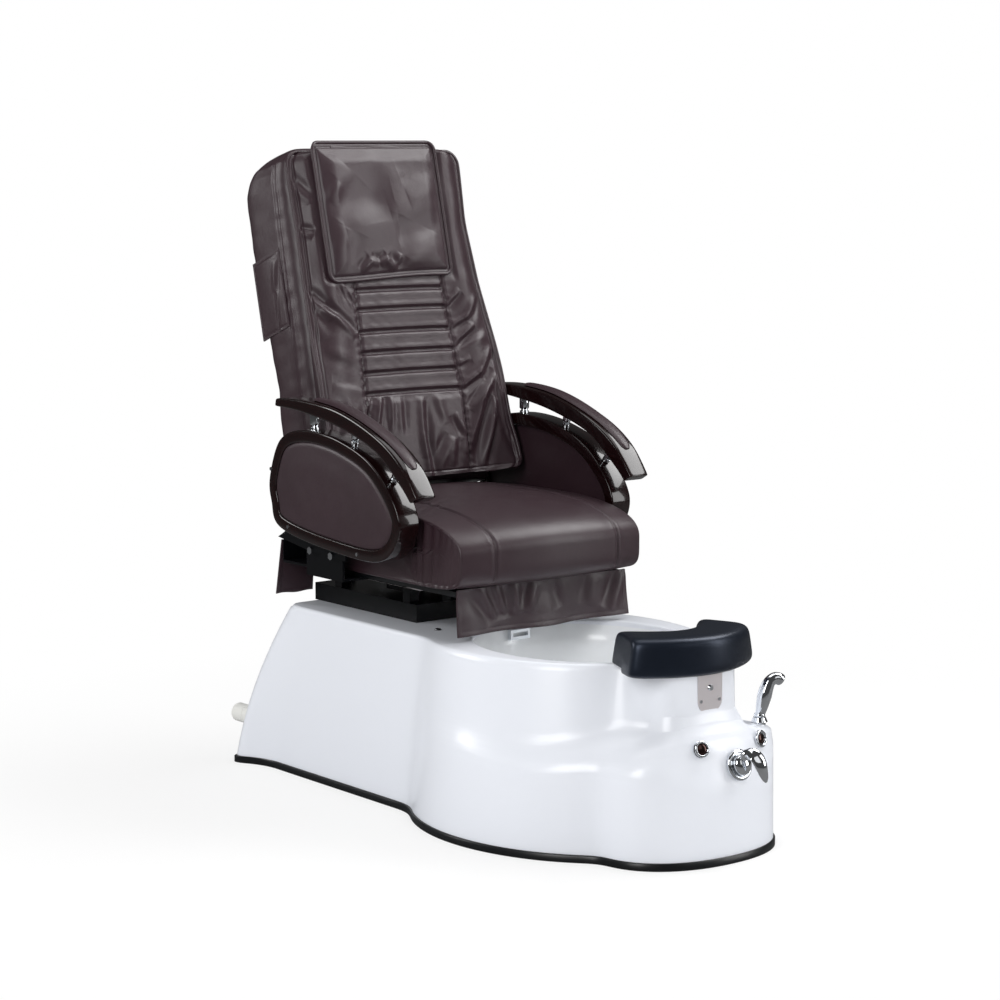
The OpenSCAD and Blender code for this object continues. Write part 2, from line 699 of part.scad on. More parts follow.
module jet_button() {
  color("#5a4a46") on_face(button_p, button_n) translate([0, 0, -20]) cylinder(r = button_r, h = 23);
}
module shower_collar() {
  color(chrome_c) translate([shower_p[0], shower_p[1], 0]) difference() {
    union() {
      translate([0, 0, 200]) cylinder(r = collar_r, h = ledge_z - 196);
      translate([0, 0, ledge_z]) cylinder(r1 = 17, r2 = 13, h = 9);
    }
    translate([0, 0, 210]) cylinder(r = stem_r + run, h = 90);
  }
}
// way along the neck: sideways, up, radius
neck = [[0, 4, 10], [3, 12, 11], [6, 24, 13], [11, 44, 15], [16, 60, 14], [23, 73, 12.5], [34, 79, 12.5],
  [44, 77, 13], [51, 73, 12]];
module hand_shower() {
  top = ledge_z + 9 + seat_gap;
  color(chrome_c) translate([shower_p[0], shower_p[1], 0]) {
    translate([0, 0, 212]) cylinder(r = stem_r, h = top - 208);
    translate([0, 0, top]) cylinder(r = 11.5, h = 7);
    tube([for (p = neck) [0.95 * p[0], -0.3 * p[0], top + p[1], p[2]]], 16);
  }
}

// ---------- footrest ----------
plate_half = 33;
plate_z0 = 300;
plate_y = -nose_front - 0.2;
plate_t = 2;
plate_r = 24;
module plate_shape() {
  box([-plate_half, plate_y - plate_t, plate_z0 + plate_r], [plate_half, plate_y, deck_h]);
  box([plate_r - plate_half, plate_y - plate_t, plate_z0], [plate_half - plate_r, plate_y, plate_z0 + plate_r]);
  both_sides() translate([plate_half - plate_r, plate_y, plate_z0 + plate_r])
    rotate([90, 0, 0]) cylinder(r = plate_r, h = plate_t);
}
module footrest_plate() {
  color("#b4b0ac") difference() {
    plate_shape();
    base_screws();
  }
}
// shanks through the plate and the shell
module base_screws() {
  y = plate_y - plate_t - 0.5;
  translate([0, y, plate_z0 + 50]) rotate([-90, 0, 0]) cylinder(r = 4, h = 26);
  both_sides() translate([25, y, plate_z0 + 24]) rotate([-90, 0, 0]) cylinder(r = 2, h = 14);
}
module base_fasteners() {
  y = plate_y - plate_t;
  color(chrome_c) {
    base_screws();
    translate([0, y, plate_z0 + 50]) rotate([90, 0, 0]) cylinder(r1 = 7, r2 = 5, h = 4);
    both_sides() translate([25, y, plate_z0 + 24]) rotate([90, 0, 0]) cylinder(r = 3.5, h = 1.5);
    both_sides() translate([177, 10, deck_h]) cylinder(r1 = 8, r2 = 6, h = 3);
  }
}
sleeve_h = 120;
// height of the posts above the floor of their sleeves, and how far they enter the pad
post_lift = 6;
post_grip = 25;
module post_sleeves() {
  color(steel_c) both_sides() translate([post_x, post_y, deck_h - sleeve_h]) difference() {
    cylinder(r = sleeve_r, h = sleeve_h);
    translate([0, 0, 4]) cylinder(r = pad_post_r + run, h = sleeve_h);
  }
}
pad_gap = 1.2;
pad_front = -692;
pad_bow = 70;
pad_sweep = 70;
// how much less the rear of the pad reaches sideways than its front
pad_taper = 48;
pad_skirt = 6;
pad_clear = 4;
module footrest_pad() {
  stops = [-0.995, -0.96, -0.88, -0.7, -0.48, -0.24, 0, 0.24, 0.48, 0.7, 0.88, 0.96, 0.995];
  z0 = deck_h + pad_gap;
  mid = z0 + (pad_h - pad_skirt) / 2;
  half = (pad_h + pad_skirt) / 2;
  color(black_c) difference() {
    ring_solid([for (e = stops)
      let (
        k = bulge(e, 10),
        f = [e * pad_half, pad_front + pad_bow * e * e],
        b = [e * (pad_half - pad_taper), pad_front + pad_d + pad_sweep * e * e],
        c = (f + b) / 2,
        d = (b - f) / 2
      )
      [for (a = [0 : 18 : 342])
        let (s = spow(cos(a), 0.4), h = spow(sin(a), 0.4), p = c + d * s * k * (1 - 0.05 * (h + 1)))
          [p[0] * (1 - 0.035 * (h + 1)), p[1], mid + half * h * k]]
    ]);
    linear_extrude(z0) polygon([for (p = shell_ring(deck_h, -pad_clear, deck_h)) [p[0], p[1]]]);
    both_sides() translate([post_x, post_y, z0 - 1]) cylinder(r = pad_post_r, h = post_grip + 1);
  }
}
module footrest_posts() {
  color(steel_c) both_sides() translate([post_x, post_y, deck_h - sleeve_h + post_lift])
    cylinder(r = pad_post_r, h = sleeve_h - post_lift + pad_gap + post_grip);
}

// ---------- pedestal and slide ----------
screw_p = [-80, 0, box_top + 22];
screw_r = 5;
post_w = 26;
module slide_screw() { rod([screw_p[0], 105, screw_p[2]], [screw_p[0], 489, screw_p[2]], screw_r); }
module pedestal() {
  color(black_c) difference() {
    union() {
      box([-box_half, 105, deck_h], [box_half, 500, box_top]);
      both_sides() for (y = [133, 396])
        box([rail_x - post_w / 2, y, box_top], [rail_x + post_w / 2, y + post_w, rail_z]);
      for (y = [107, 476])
        box([screw_p[0] - 12, y, box_top], [screw_p[0] + 12, y + 10, screw_p[2] + 12]);
    }
    slide_screw();
  }
}
module slide_rails() {
  color(steel_c) {
    both_sides() box([rail_x - rail_w / 2, rail_y0, rail_z], [rail_x + rail_w / 2, rail_y1, rail_top]);
    slide_screw();
  }
}
module slide_runners() {
  g = seat_gap;
  color(black_c) both_sides() difference() {
    box([rail_x - rail_w / 2 - 6, 150, rail_z + 2], [rail_x + rail_w / 2 + 6, 450, frame_z]);
    box([rail_x - rail_w / 2 - g, 149, rail_z], [rail_x + rail_w / 2 + g, 451, rail_top + g]);
  }
}
module slide_motor() {
  color("#3a4048") difference() {
    union() {
      box([screw_p[0] - 24, 240, box_top + 6], [screw_p[0] + 24, 302, frame_z]);
      rod([screw_p[0] + 24, 271, screw_p[2]], [screw_p[0] + 58, 271, screw_p[2]], 15);
    }
    rod([screw_p[0], 230, screw_p[2]], [screw_p[0], 312, screw_p[2]], screw_r + run);
  }
}

// ---------- seat ----------
bracket_x = arm_in + 20;
bracket_t = 6;
frame_half = seat_half - 41;
notch = 30;
notch_y = 300;
tail_in = 143;
tail_out = 235;
tail_y = 528;
act_y = 150;
act_z = box_top + 15;
act_pin = 4;
module seat_frame() {
  z = frame_z;
  t = frame_t;
  color(black_c) difference() {
    union() {
      box([-frame_half, -90, z], [frame_half, pivot_y + 25, z + t]);
      both_sides() {
        box([frame_half - 20, 210, z], [bracket_x, 350, z + t]);
        box([bracket_x - bracket_t, 210, z], [bracket_x, 350, cushion_z + 48]);
        box([frame_half - 8, pivot_y - 20, z], [frame_half, pivot_y + 20, pivot_z + 18]);
        box([tail_in + 10, pivot_y + 20, z], [tail_out - 2, tail_y + 3, z + t]);
        box([tail_in + 10, tail_y, z], [tail_out - 2, tail_y + 3, cushion_z + 34]);
      }
      for (x = [-22, 47]) box([x, act_y - 10, act_z - 9], [x + 4, act_y + 10, z]);
      rod([-22, act_y, act_z], [51, act_y, act_z], act_pin);
    }
    box([-notch, notch_y, z - 1], [notch, pivot_y + 40, z + t + 1]);
    recline_shaft();
    arm_bolts();
  }
}
board_front = -130;
module seat_board() {
  z = frame_z + frame_t;
  color("#b08d62") difference() {
    box([-seat_half + 19, board_front, z], [seat_half - 19, seat_rear - 5, z + board_t]);
    box([-notch, notch_y, z - 1], [notch, seat_rear + 10, z + board_t + 1]);
  }
}
seam_x = seat_half - 84;
seat_bow = 34;
module seat_cushion() {
  half = [0.24, 0.48, (seam_x - 5) / seat_half, seam_x / seat_half, (seam_x + 5) / seat_half,
    0.8, 0.88, 0.94, 0.975, 0.995];
  stops = concat([for (i = [len(half) - 1 : -1 : 0]) -half[i]], [0], half);
  color(leather) ring_solid([for (e = stops)
    let (
      k = bulge(e, 9),
      sewn = abs(abs(e) * seat_half - seam_x) < 1 ? 4 : 0,
      y0 = seat_front - seat_bow * (1 - e * e),
      t = seat_t + seat_crown * (1 - e * e) * 2,
      ly = (seat_rear - y0) / 2 * (0.9 + 0.1 * k) - sewn,
      lz = t / 2 * k - sewn,
      cy = (seat_rear + y0) / 2,
      cz = cushion_z + t / 2
    )
    [for (a = [0 : 15 : 345]) [e * seat_half, cy + ly * spow(cos(a), 0.42), cz + lz * spow(sin(a), 0.42)]]
  ]);
}
apron_half = seat_half - 20;
function fold(u, v) = 4 + pow(1 - v, 2) * (5 * sin(900 * u + 60) * sin(180 * u) + 3 * sin(400 * u));
module front_apron() {
  y = board_front - seat_gap + 4;
  z = cushion_z - 2 - apron_h;
  color(leather) slab(
    function(u, v) [mix(-apron_half, apron_half, u), y - 3 - fold(u, v), z + apron_h * v],
    function(u, v) [mix(-apron_half, apron_half, u), y - fold(u, v), z + apron_h * v],
    28, 4
  );
}
module rear_tails() {
  z = deck_h + 13;
  top = cushion_z + 34;
  y = tail_y + 3 + seat_gap;
  color(leather) for (side = [-1, 1]) slab(
    function(u, v) [mix(side < 0 ? -tail_out : tail_in, side < 0 ? -tail_in : tail_out, u),
      y + 18 * (1 - v), mix(z, top, v)],
    function(u, v) [mix(side < 0 ? -tail_out : tail_in, side < 0 ? -tail_in : tail_out, u),
      y + 3 + 18 * (1 - v) + 2 * (1 - v) * sin(360 * u), mix(z, top, v)],
    8, 4
  );
}

// ---------- arms, drawn with their heights above the underside of the cushion ----------
panel_shape = spline([[440, 142], [444, 201], [400, 286], [304, 314], [164, 301], [36, 251], [-49, 146],
  [10, 58], [182, 53], [400, 83]], 5, true);
bar_top = spline([[417, 376], [325, 380], [177, 367], [35, 323], [-54, 272], [-111, 205]], 5, false);
bar_low = spline([[-87, 192], [-53, 223], [36, 288], [178, 331], [326, 353], [421, 358]], 5, false);
arm_post_ends = [[[301, 308], [301, 356]], [[147, 292], [140, 330]], [[6, 222], [-20, 256]]];
module arm_slice(x, w) { translate([x, 0, cushion_z]) rotate([90, 0, 90]) linear_extrude(w) children(); }
module side_panels() {
  color(lacquer) difference() {
    both_sides() arm_slice(arm_in, arm_w) difference() {
      polygon(panel_shape);
      polygon(inset(panel_shape, ring_w));
    }
    arm_brackets();
    arm_posts();
    arm_bolts();
  }
}
module panel_inlays() {
  color(leather) difference() {
    both_sides() arm_slice(arm_in + 14, arm_w - 18) polygon(inset(panel_shape, ring_w + seat_gap));
    arm_brackets();
    arm_bolts();
  }
}
module arm_bars() {
  color(lacquer) difference() {
    both_sides() arm_slice(arm_in, arm_w) polygon(concat(bar_top, bar_low));
    arm_posts();
  }
}
module arm_pads() {
  color(leather) for (side = [-1, 1]) slab(
    function(u, v) let (e = 2 * u - 1, f = (2 * v - 1) * 0.99, y = mix(-62, 285, v))
      [side * arm_mid + e * arm_pad_w / 2 * bulge(f, 5), y,
       cushion_z + lookup(y, bar_top) + 1.5 + 6 * bulge(f, 6) * (1 - 0.5 * e * e)],
    function(u, v) let (e = 2 * u - 1, f = (2 * v - 1) * 0.99, y = mix(-62, 285, v))
      [side * arm_mid + e * arm_pad_w / 2 * bulge(f, 5), y, cushion_z + lookup(y, bar_top) + 3 * seat_gap],
    6, 14
  );
}
module arm_posts() {
  color(chrome_c) both_sides() for (p = arm_post_ends) {
    a = [arm_mid, p[0][0], cushion_z + p[0][1]];
    b = [arm_mid, p[1][0], cushion_z + p[1][1]];
    rod(a, b, arm_post_r);
    rod(mix(a, b, 0.42), mix(a, b, 0.88), arm_post_r + 3);
  }
}
module arm_brackets() {
  color(black_c) difference() {
    both_sides() arm_slice(bracket_x, bracket_t)
      polygon([[190, 31], [330, 38], [456, 56], [440, 64], [395, 91], [190, 62]]);
    arm_bolts();
  }
}
bolt_places = [[322, 40], [241, 37]];
nut_x = bracket_x - bracket_t - 6;
// shanks of the arm bolts and of the three screws in each panel
module arm_bolts() {
  both_sides() {
    for (p = bolt_places) rod([nut_x, p[0], cushion_z + p[1]], [bracket_x + 7, p[0], cushion_z + p[1]], 5);
    for (p = [[372, 90], [105, 60], [438, 215]])
      rod([arm_in + arm_w - 20, p[0], cushion_z + p[1]], [arm_in + arm_w + 1.5, p[0], cushion_z + p[1]], 4);
  }
}
module arm_fasteners() {
  color(chrome_c) {
    arm_bolts();
    both_sides() for (p = bolt_places, x = [nut_x, bracket_x + bracket_t])
      translate([x, p[0], cushion_z + p[1]]) rotate([0, 90, 0]) cylinder(r = 9, h = 6, $fn = 6);
  }
}

// ---------- recline ----------
lug = [0, pivot_y + 39.4, pivot_z - 125];
act = [0, act_y, act_z];
act_dir = unit(lug - act);
act_tube_r = 14;
act_rod_r = 8;
function on_act(d) = act + d * act_dir;
module recline_shaft() {
  color(steel_c) rod([-frame_half - 6, pivot_y, pivot_z], [frame_half + 6, pivot_y, pivot_z], pivot_r);
}
module recline_actuator() {
  color("#24282e") difference() {
    union() {
      rod(on_act(18), on_act(185), act_tube_r);
      rod(on_act(20) + [30, 0, 0], on_act(120) + [30, 0, 0], act_tube_r);
      rod([-16, act_y, act_z], [44, act_y, act_z], 11);
      translate(act) rotate([acos(act_dir[1]), 0, 0]) box([-16, 8, -11], [44, 26, 11]);
    }
    rod(on_act(34), on_act(190), act_rod_r + run);
    rod([-40, act_y, act_z], [60, act_y, act_z], act_pin + run);
  }
}
module actuator_rod() {
  color(steel_c) difference() {
    union() {
      rod(on_act(120), lug, act_rod_r);
      rod(lug - [6, 0, 0], lug + [6, 0, 0], 13);
    }
    rod(lug - [10, 0, 0], lug + [10, 0, 0], act_pin + 5);
  }
}
module back_frame() {
  rail_in = back_half - 68;
  color(steel_c) {
    difference() {
      rod([-frame_half + 8.4, pivot_y, pivot_z], [frame_half - 8.4, pivot_y, pivot_z], pivot_r + 6);
      rod([-frame_half, pivot_y, pivot_z], [frame_half, pivot_y, pivot_z], pivot_r + run);
    }
    on_back() {
      both_sides() box([rail_in, pivot_ly - 11, pivot_lz + 13], [rail_in + 8, pivot_ly + 11, back_len - 75]);
      for (z = [20, back_len - 99]) difference() {
        box([-cavity_half, pivot_ly - 11, z], [cavity_half, pivot_ly + 11, z + 24]);
        massage_guides();
      }
    }
    both_sides() difference() {
      arm_plate = [[pivot_y - 4, pivot_z - 13], [pivot_y + 10, pivot_z - 10], [lug[1] + 10, lug[2]],
        [lug[1] + 4, lug[2] - 10], [lug[1] - 8, lug[2] - 6], [lug[1] - 12, lug[2] + 8]];
      translate([8, 0, 0]) rotate([90, 0, 90]) linear_extrude(6) polygon(arm_plate);
      rod(lug - [20, 0, 0], lug + [20, 0, 0], act_pin);
    }
    rod(lug - [14, 0, 0], lug + [14, 0, 0], act_pin);
  }
}

// ---------- backrest upholstery and massage drive ----------
function rear_at(z) = back_d + lookup(z / back_len, [[0, -16], [0.21, -15], [0.31, -25], [0.48, -16],
  [0.7, 0], [0.885, 2], [0.945, -20], [0.98, -62], [0.996, -110], [1, -150]]);
function side_at(z) = back_half * lookup(z / back_len, [[0, 0.97], [0.03, 1], [0.92, 1], [0.965, 0.96],
  [0.99, 0.88], [1, 0.8]]);
body_front = cover_t + 4;
cavity_rear = back_d - 50;
cavity_half = back_half - 52;
module back_body() {
  levels = [0, 0.03, 0.21, 0.31, 0.48, 0.7, 0.885, 0.92, 0.945, 0.965, 0.98, 0.99, 1];
  color(leather) on_back() {
    difference() {
      ring_solid([for (f = levels)
        let (z = f * back_len, y0 = body_front + (f > 0.985 ? 6 : 0), y1 = rear_at(z), w = side_at(z))
          [for (a = [0 : 12 : 348])
            [w * spow(cos(a), 0.36), (y0 + y1) / 2 + (y1 - y0) / 2 * spow(sin(a), 0.36), z]]
      ]);
      box([-cavity_half, 0, -30], [cavity_half, cavity_rear, back_len - 48]);
    }
    both_sides()
      box([cavity_half + 6, cover_t + seat_gap, 60], [cavity_half + 18, body_front + 8, back_len - 120]);
  }
}
module side_pocket() {
  color(leather) on_back() slab(
    function(u, v)
      [-back_half - 2 - 9 * sin(180 * u) * sin(100 * v), mix(222, 107, u), mix(370, 550, v) + 16 * u],
    function(u, v) [-back_half - seat_gap, mix(222, 107, u), mix(370, 550, v) + 16 * u],
    8, 6
  );
}
channels = [203, 250, 297, 345, 396, 441];
cover_low = -6;
cover_rows = concat([cover_low, 2, 30, 100, 160], [for (c = channels) each [c - 12, c, c + 12]],
  [500, 580, 660, back_len - 48, back_len - 22, back_len - 15]);
cover_cols = [-1, -0.95, -0.8, -0.62, -0.56, -0.5, -0.2, 0.2, 0.5, 0.56, 0.62, 0.8, 0.95, 1];
function cover_half(z) = arm_in - lookup(z, [[0, 8], [110, 10], [277, 20], [421, 38],
  [545, 48], [660, 48], [back_len - 30, 53]]);
module massage_cover() {
  nu = len(cover_cols) - 1;
  nv = len(cover_rows) - 1;
  color(leather) on_back() slab(
    function(u, v) let (
        i = round(u * nu), j = round(v * nv), e = cover_cols[i], z = cover_rows[j],
        sewn = abs(e) < 0.6 && len(search(z, channels)) > 0 ? 5 : 0,
        edge = max(pow(abs(e), 8), pow(abs(2 * v - 1), 16))
      ) [e * cover_half(z), 1 + 9 * edge + sewn + (abs(e) == 0.56 && z < 480 ? 3 : 0), z],
    function(u, v) let (i = round(u * nu), j = round(v * nv), z = cover_rows[j])
      [cover_cols[i] * cover_half(z), cover_t, z],
    nu, nv
  );
}
pillow_x = -18;
pillow_half = 172;
strap_half = 118;
pillow_low = 473;
// path of the flap: up the cover, round its top edge, then back over the body
function flap_y(v) = v < 0.8 ? 1 - seat_gap
  : v < 0.9 ? 13 - (12 + seat_gap) * cos(900 * (v - 0.8)) : mix(13, 96, (v - 0.9) * 10);
function flap_z(v) = let (top = back_len - 10.7) v < 0.8 ? mix(pillow_low, top, v / 0.8)
  : v < 0.9 ? top + 14 * sin(900 * (v - 0.8)) : top + 14;
function flap_n(v) = v < 0.8 ? [-1, 0] : v < 0.9 ? [-cos(900 * (v - 0.8)), sin(900 * (v - 0.8))] : [0, 1];
// the pillow narrows to a strap where it passes over the top
function pillow_at(u, v) = pillow_x + (2 * u - 1) * (v > 0.87 ? strap_half : pillow_half);
module head_pillow() {
  color(leather) on_back() slab(
    function(u, v) let (
        t = 3 + (v < 0.87 ? 20 * bulge(2 * u - 1, 5) * bulge(v / 0.8 > 1 ? 1 : 1.6 * v / 0.8 - 0.8, 5) : 0),
        n = flap_n(v))
      [pillow_at(u, v), flap_y(v) + t * n[0], flap_z(v) + t * n[1]],
    function(u, v) [pillow_at(u, v), flap_y(v), flap_z(v)],
    10, 20
  );
}
guide_x = 110;
guide_r = 6;
axle_r = 6;
carriage_z = 170;
roller_y = body_front + roller_r + 12;
module massage_guides() {
  both_sides() rod([guide_x, pivot_ly, 22], [guide_x, pivot_ly, back_len - 78], guide_r);
}
module massage_rails() { color(steel_c) on_back() massage_guides(); }
module massage_carriage() {
  z = carriage_z;
  y = pivot_ly;
  color("#3a4048") on_back() {
    difference() {
      union() {
        box([-guide_x - 14, y - 13, z - 60], [guide_x + 14, y + 13, z + 60]);
        box([-45, y + 13, z - 35], [45, y + 50, z + 35]);
        for (s = [-1, 1], k = [-1, 1])
          box([s * 14 - 6, roller_y - 10, z + k * 48 - 10], [s * 14 + 6, y - 13, z + k * 48 + 10]);
      }
      for (s = [-1, 1]) rod([s * guide_x, y, z - 80], [s * guide_x, y, z + 80], guide_r + run);
    }
    for (k = [-1, 1]) {
      rod([-78, roller_y, z + k * 48], [78, roller_y, z + k * 48], axle_r);
      for (s = [-1, 1]) rod([s * 74, roller_y, z + k * 48], [s * 78, roller_y, z + k * 48], axle_r + 4);
    }
  }
}
module roller_pair(side) {
  color("#2c3036") on_back() for (s = [-1, 1]) translate([s * 50, roller_y, carriage_z + side * 48])
    rotate([0, 90, 0]) difference() {
      union() {
        translate([0, 0, -15]) cylinder(r = roller_r - 4, h = 30);
        translate([0, 0, -9]) cylinder(r = roller_r, h = 18);
      }
      translate([0, 0, -20]) cylinder(r = axle_r + run, h = 40);
    }
}
module upper_rollers() { roller_pair(1); }
module lower_rollers() { roller_pair(-1); }

base_shell();
kick_strip();
basin();
base_frame();
levelling_feet();
wall_jets();
suction_cover();
waterfall_spout();
drain_flange();
drain_stopper();
drain_pipe();
pump_housing();
pump_impeller();
pump_motor();
jet_pipes();
control_box();
mains_inlet();
mixer_body();
mixer_cap();
mixer_lever();
water_hoses();
drain_knob_bush();
drain_knob();
jet_button_bezel();
jet_button();
shower_collar();
hand_shower();
footrest_plate();
base_fasteners();
post_sleeves();
footrest_pad();
footrest_posts();
pedestal();
slide_rails();
slide_runners();
slide_motor();
seat_frame();
seat_board();
seat_cushion();
front_apron();
rear_tails();
side_panels();
panel_inlays();
arm_bars();
arm_pads();
arm_posts();
arm_brackets();
arm_fasteners();
recline_shaft();
recline_actuator();
actuator_rod();
back_frame();
back_body();
side_pocket();
massage_cover();
head_pillow();
massage_rails();
massage_carriage();
upper_rollers();
lower_rollers();
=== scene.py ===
# %% [markdown]
# # A pedicure spa chair
#
# This notebook dresses a CAD model of a pedicure chair: a massage armchair on a glossy
# moulded base with a foot bath. The CAD model already has the right sizes, so every piece
# made here sits in the same frame: metres, Z up, and -Y towards the foot bath. Hard parts
# keep their CAD mesh and only get a better finish. Moulded and upholstered parts are made
# again as smooth surfaces, because a CAD mesh of them is too coarse to look soft.

import json
import math

import bmesh
import bpy
import numpy as np
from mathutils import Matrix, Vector
from mathutils.bvhtree import BVHTree


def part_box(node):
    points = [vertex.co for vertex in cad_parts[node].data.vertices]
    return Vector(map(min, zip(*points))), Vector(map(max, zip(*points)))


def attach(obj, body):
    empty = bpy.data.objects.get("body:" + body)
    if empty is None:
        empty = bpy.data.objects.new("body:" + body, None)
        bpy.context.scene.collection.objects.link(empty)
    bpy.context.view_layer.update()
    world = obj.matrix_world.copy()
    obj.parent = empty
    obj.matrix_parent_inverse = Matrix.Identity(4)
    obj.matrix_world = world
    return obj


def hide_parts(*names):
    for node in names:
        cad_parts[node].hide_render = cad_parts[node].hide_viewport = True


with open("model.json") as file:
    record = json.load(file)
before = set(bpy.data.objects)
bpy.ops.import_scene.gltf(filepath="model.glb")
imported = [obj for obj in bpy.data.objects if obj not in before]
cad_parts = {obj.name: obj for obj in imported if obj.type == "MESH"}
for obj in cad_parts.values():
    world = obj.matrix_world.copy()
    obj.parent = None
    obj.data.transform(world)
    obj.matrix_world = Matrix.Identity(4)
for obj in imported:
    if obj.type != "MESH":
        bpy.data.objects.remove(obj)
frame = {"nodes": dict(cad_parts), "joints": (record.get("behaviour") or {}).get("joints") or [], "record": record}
nodes = frame["nodes"]
scene = bpy.context.scene


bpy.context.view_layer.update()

# %% [markdown]
# ## Small shape helpers
#
# Most upholstered forms here are superellipses: ovals with squared shoulders. A power
# below 1 on the sine and cosine squares them off. Smooth steps and splines do the rest.


# %% Curves and powers
def smooth(t):
    t = np.clip(t, 0, 1)
    return t * t * (3 - 2 * t)


def mix(a, b, t):
    return a + (b - a) * t


def signed_power(t, n):
    return np.sign(t) * np.abs(t) ** n


def bell(distance, width, n=2):
    """A bump of height 1 that fades within about a width."""
    return np.exp(-(distance / width) ** n)


def circle(count):
    return np.linspace(0, 2 * math.pi, count, endpoint=False)


def oval(turn, n):
    """Cosine and sine of a turn, squared off by a power below 1."""
    return signed_power(np.cos(turn), n), signed_power(np.sin(turn), n)


def unit_grid(nu, nv, low=0):
    return np.meshgrid(np.linspace(low, 1, nu), np.linspace(0, 1, nv))


def columns(*parts):
    """Points from x, y and z, any of which may be a single number."""
    return np.stack(np.broadcast_arrays(*parts), -1).astype(float)


def round_off(t, n):
    """The other coordinate of a superellipse at the fraction t."""
    return np.maximum(0, 1 - np.minimum(np.abs(t), 1) ** n) ** (1 / n)


def spline(points, steps, closed=False):
    """Catmull-Rom curve through points."""
    p = np.asarray(points, float)
    n = len(p)
    at = (lambda k: p[k % n]) if closed else (lambda k: p[min(max(k, 0), n - 1)])
    out = []
    for i in range(n if closed else n - 1):
        a, b, c, d = at(i - 1), at(i), at(i + 1), at(i + 2)
        for k in range(steps):
            t = k / steps
            out.append(
                0.5 * (2 * b + (c - a) * t + (2 * a - 5 * b + 4 * c - d) * t * t
                       + (3 * b - a - 3 * c + d) * t ** 3)
            )
    if not closed:
        out.append(p[-1])
    return np.array(out)


def inset(outline, d):
    """Each point of a closed outline moved inward by d."""
    t = np.roll(outline, -1, 0) - np.roll(outline, 1, 0)
    t /= np.linalg.norm(t, axis=1)[:, None]
    return outline + d * np.stack([-t[:, 1], t[:, 0]], 1)


def ripple(points, size, seed, waves=7):
    """Gentle random waves between -1 and 1, about size metres long, the same each run."""
    rng = np.random.RandomState(seed)
    p = np.asarray(points, float)
    total = np.zeros(p.shape[:-1])
    for _ in range(waves):
        way = rng.normal(size=3)
        way *= 2 * math.pi / size / np.linalg.norm(way) * rng.uniform(0.6, 1.6)
        total += np.sin(p @ way + rng.uniform(0, 6.3))
    return total / math.sqrt(waves * 2)


print("spline of a square has", len(spline([(0, 0), (1, 0), (1, 1), (0, 1)], 6, True)), "points")

# %% [markdown]
# ## Making a piece
#
# Every piece is a mesh at the origin with its place in its points. A ring mesh joins a
# list of rings, each running the same way round, which suits everything from the base to
# the cushions. A sheet mesh joins a front grid and a back grid along their four edges.


# %% Mesh makers
finishes = {}


def closed_mesh(name, points, faces):
    """A mesh with every face turned outwards."""
    mesh = bpy.data.meshes.new(name)
    mesh.from_pydata(np.asarray(points, float).tolist(), [], [list(f) for f in faces])
    work = bmesh.new()
    work.from_mesh(mesh)
    bmesh.ops.recalc_face_normals(work, faces=work.faces)
    work.to_mesh(mesh)
    work.free()
    return mesh


def show(name, data):
    ob = bpy.data.objects.new(name, data)
    scene.collection.objects.link(ob)
    return ob


def make_plain(piece):
    """Keep what the modifiers of a piece make as its own mesh."""
    shown = piece.evaluated_get(bpy.context.evaluated_depsgraph_get())
    done = bpy.data.meshes.new_from_object(shown)
    piece.modifiers.clear()
    piece.data = done


def add_piece(name, points, faces, slot, body, hides=(), sharp=40, finish=None):
    """One finished piece on its body, in place of the CAD nodes it hides."""
    mesh = closed_mesh(name, points, faces)
    mesh.materials.append(finishes[finish or slot])
    mesh.shade_smooth()
    mesh.set_sharp_from_angle(angle=math.radians(sharp))
    piece = show(name, mesh)
    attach(piece, body)
    if hides:
        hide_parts(*hides)
    return piece


def ring_faces(m, n, closed=False, start=0):
    faces = []
    for j in range(m if closed else m - 1):
        a, b = start + j * n, start + ((j + 1) % m) * n
        faces += [(a + i, a + (i + 1) % n, b + (i + 1) % n, b + i) for i in range(n)]
    return faces


def rings_mesh(rings, closed=False):
    """Points and faces of a tube of rings, capped with fans when it isn't closed on itself."""
    m, n = len(rings), len(rings[0])
    points = np.concatenate(rings)
    faces = ring_faces(m, n, closed)
    if not closed:
        points = np.concatenate([points, [np.mean(rings[0], 0), np.mean(rings[-1], 0)]])
        faces += [(i, m * n, (i + 1) % n) for i in range(n)]
        last = (m - 1) * n
        faces += [(last + i, last + (i + 1) % n, m * n + 1) for i in range(n)]
    return points, faces


def grid_faces(nu, nv, start=0, flip=False):
    faces = []
    for j in range(nv):
        for i in range(nu):
            a = start + j * (nu + 1) + i
            f = (a, a + 1, a + nu + 2, a + nu + 1)
            faces.append(f[::-1] if flip else f)
    return faces


def slab_mesh(front, back):
    """Closed slab between two grids of points, each of shape rows, columns, 3."""
    rows, cols = front.shape[:2]
    points = np.concatenate([front.reshape(-1, 3), back.reshape(-1, 3)])
    size = rows * cols
    faces = grid_faces(cols - 1, rows - 1) + grid_faces(cols - 1, rows - 1, size, True)
    edge = list(range(cols)) + [j * cols + cols - 1 for j in range(1, rows)]
    edge += [(rows - 1) * cols + i for i in range(cols - 2, -1, -1)]
    edge += [j * cols for j in range(rows - 2, 0, -1)]
    faces += [(a, size + a, size + b, b) for a, b in zip(edge, edge[1:] + edge[:1])]
    return points, faces


def relief(points, faces, height):
    """Points moved along their outward normals by a height that depends on where they are."""
    mesh = closed_mesh("relief", points, faces)
    normals = np.zeros(len(points) * 3)
    mesh.vertex_normals.foreach_get("vector", normals)
    bpy.data.meshes.remove(mesh)
    normals = normals.reshape(-1, 3)
    return np.asarray(points) + normals * height(np.asarray(points), normals)[:, None]


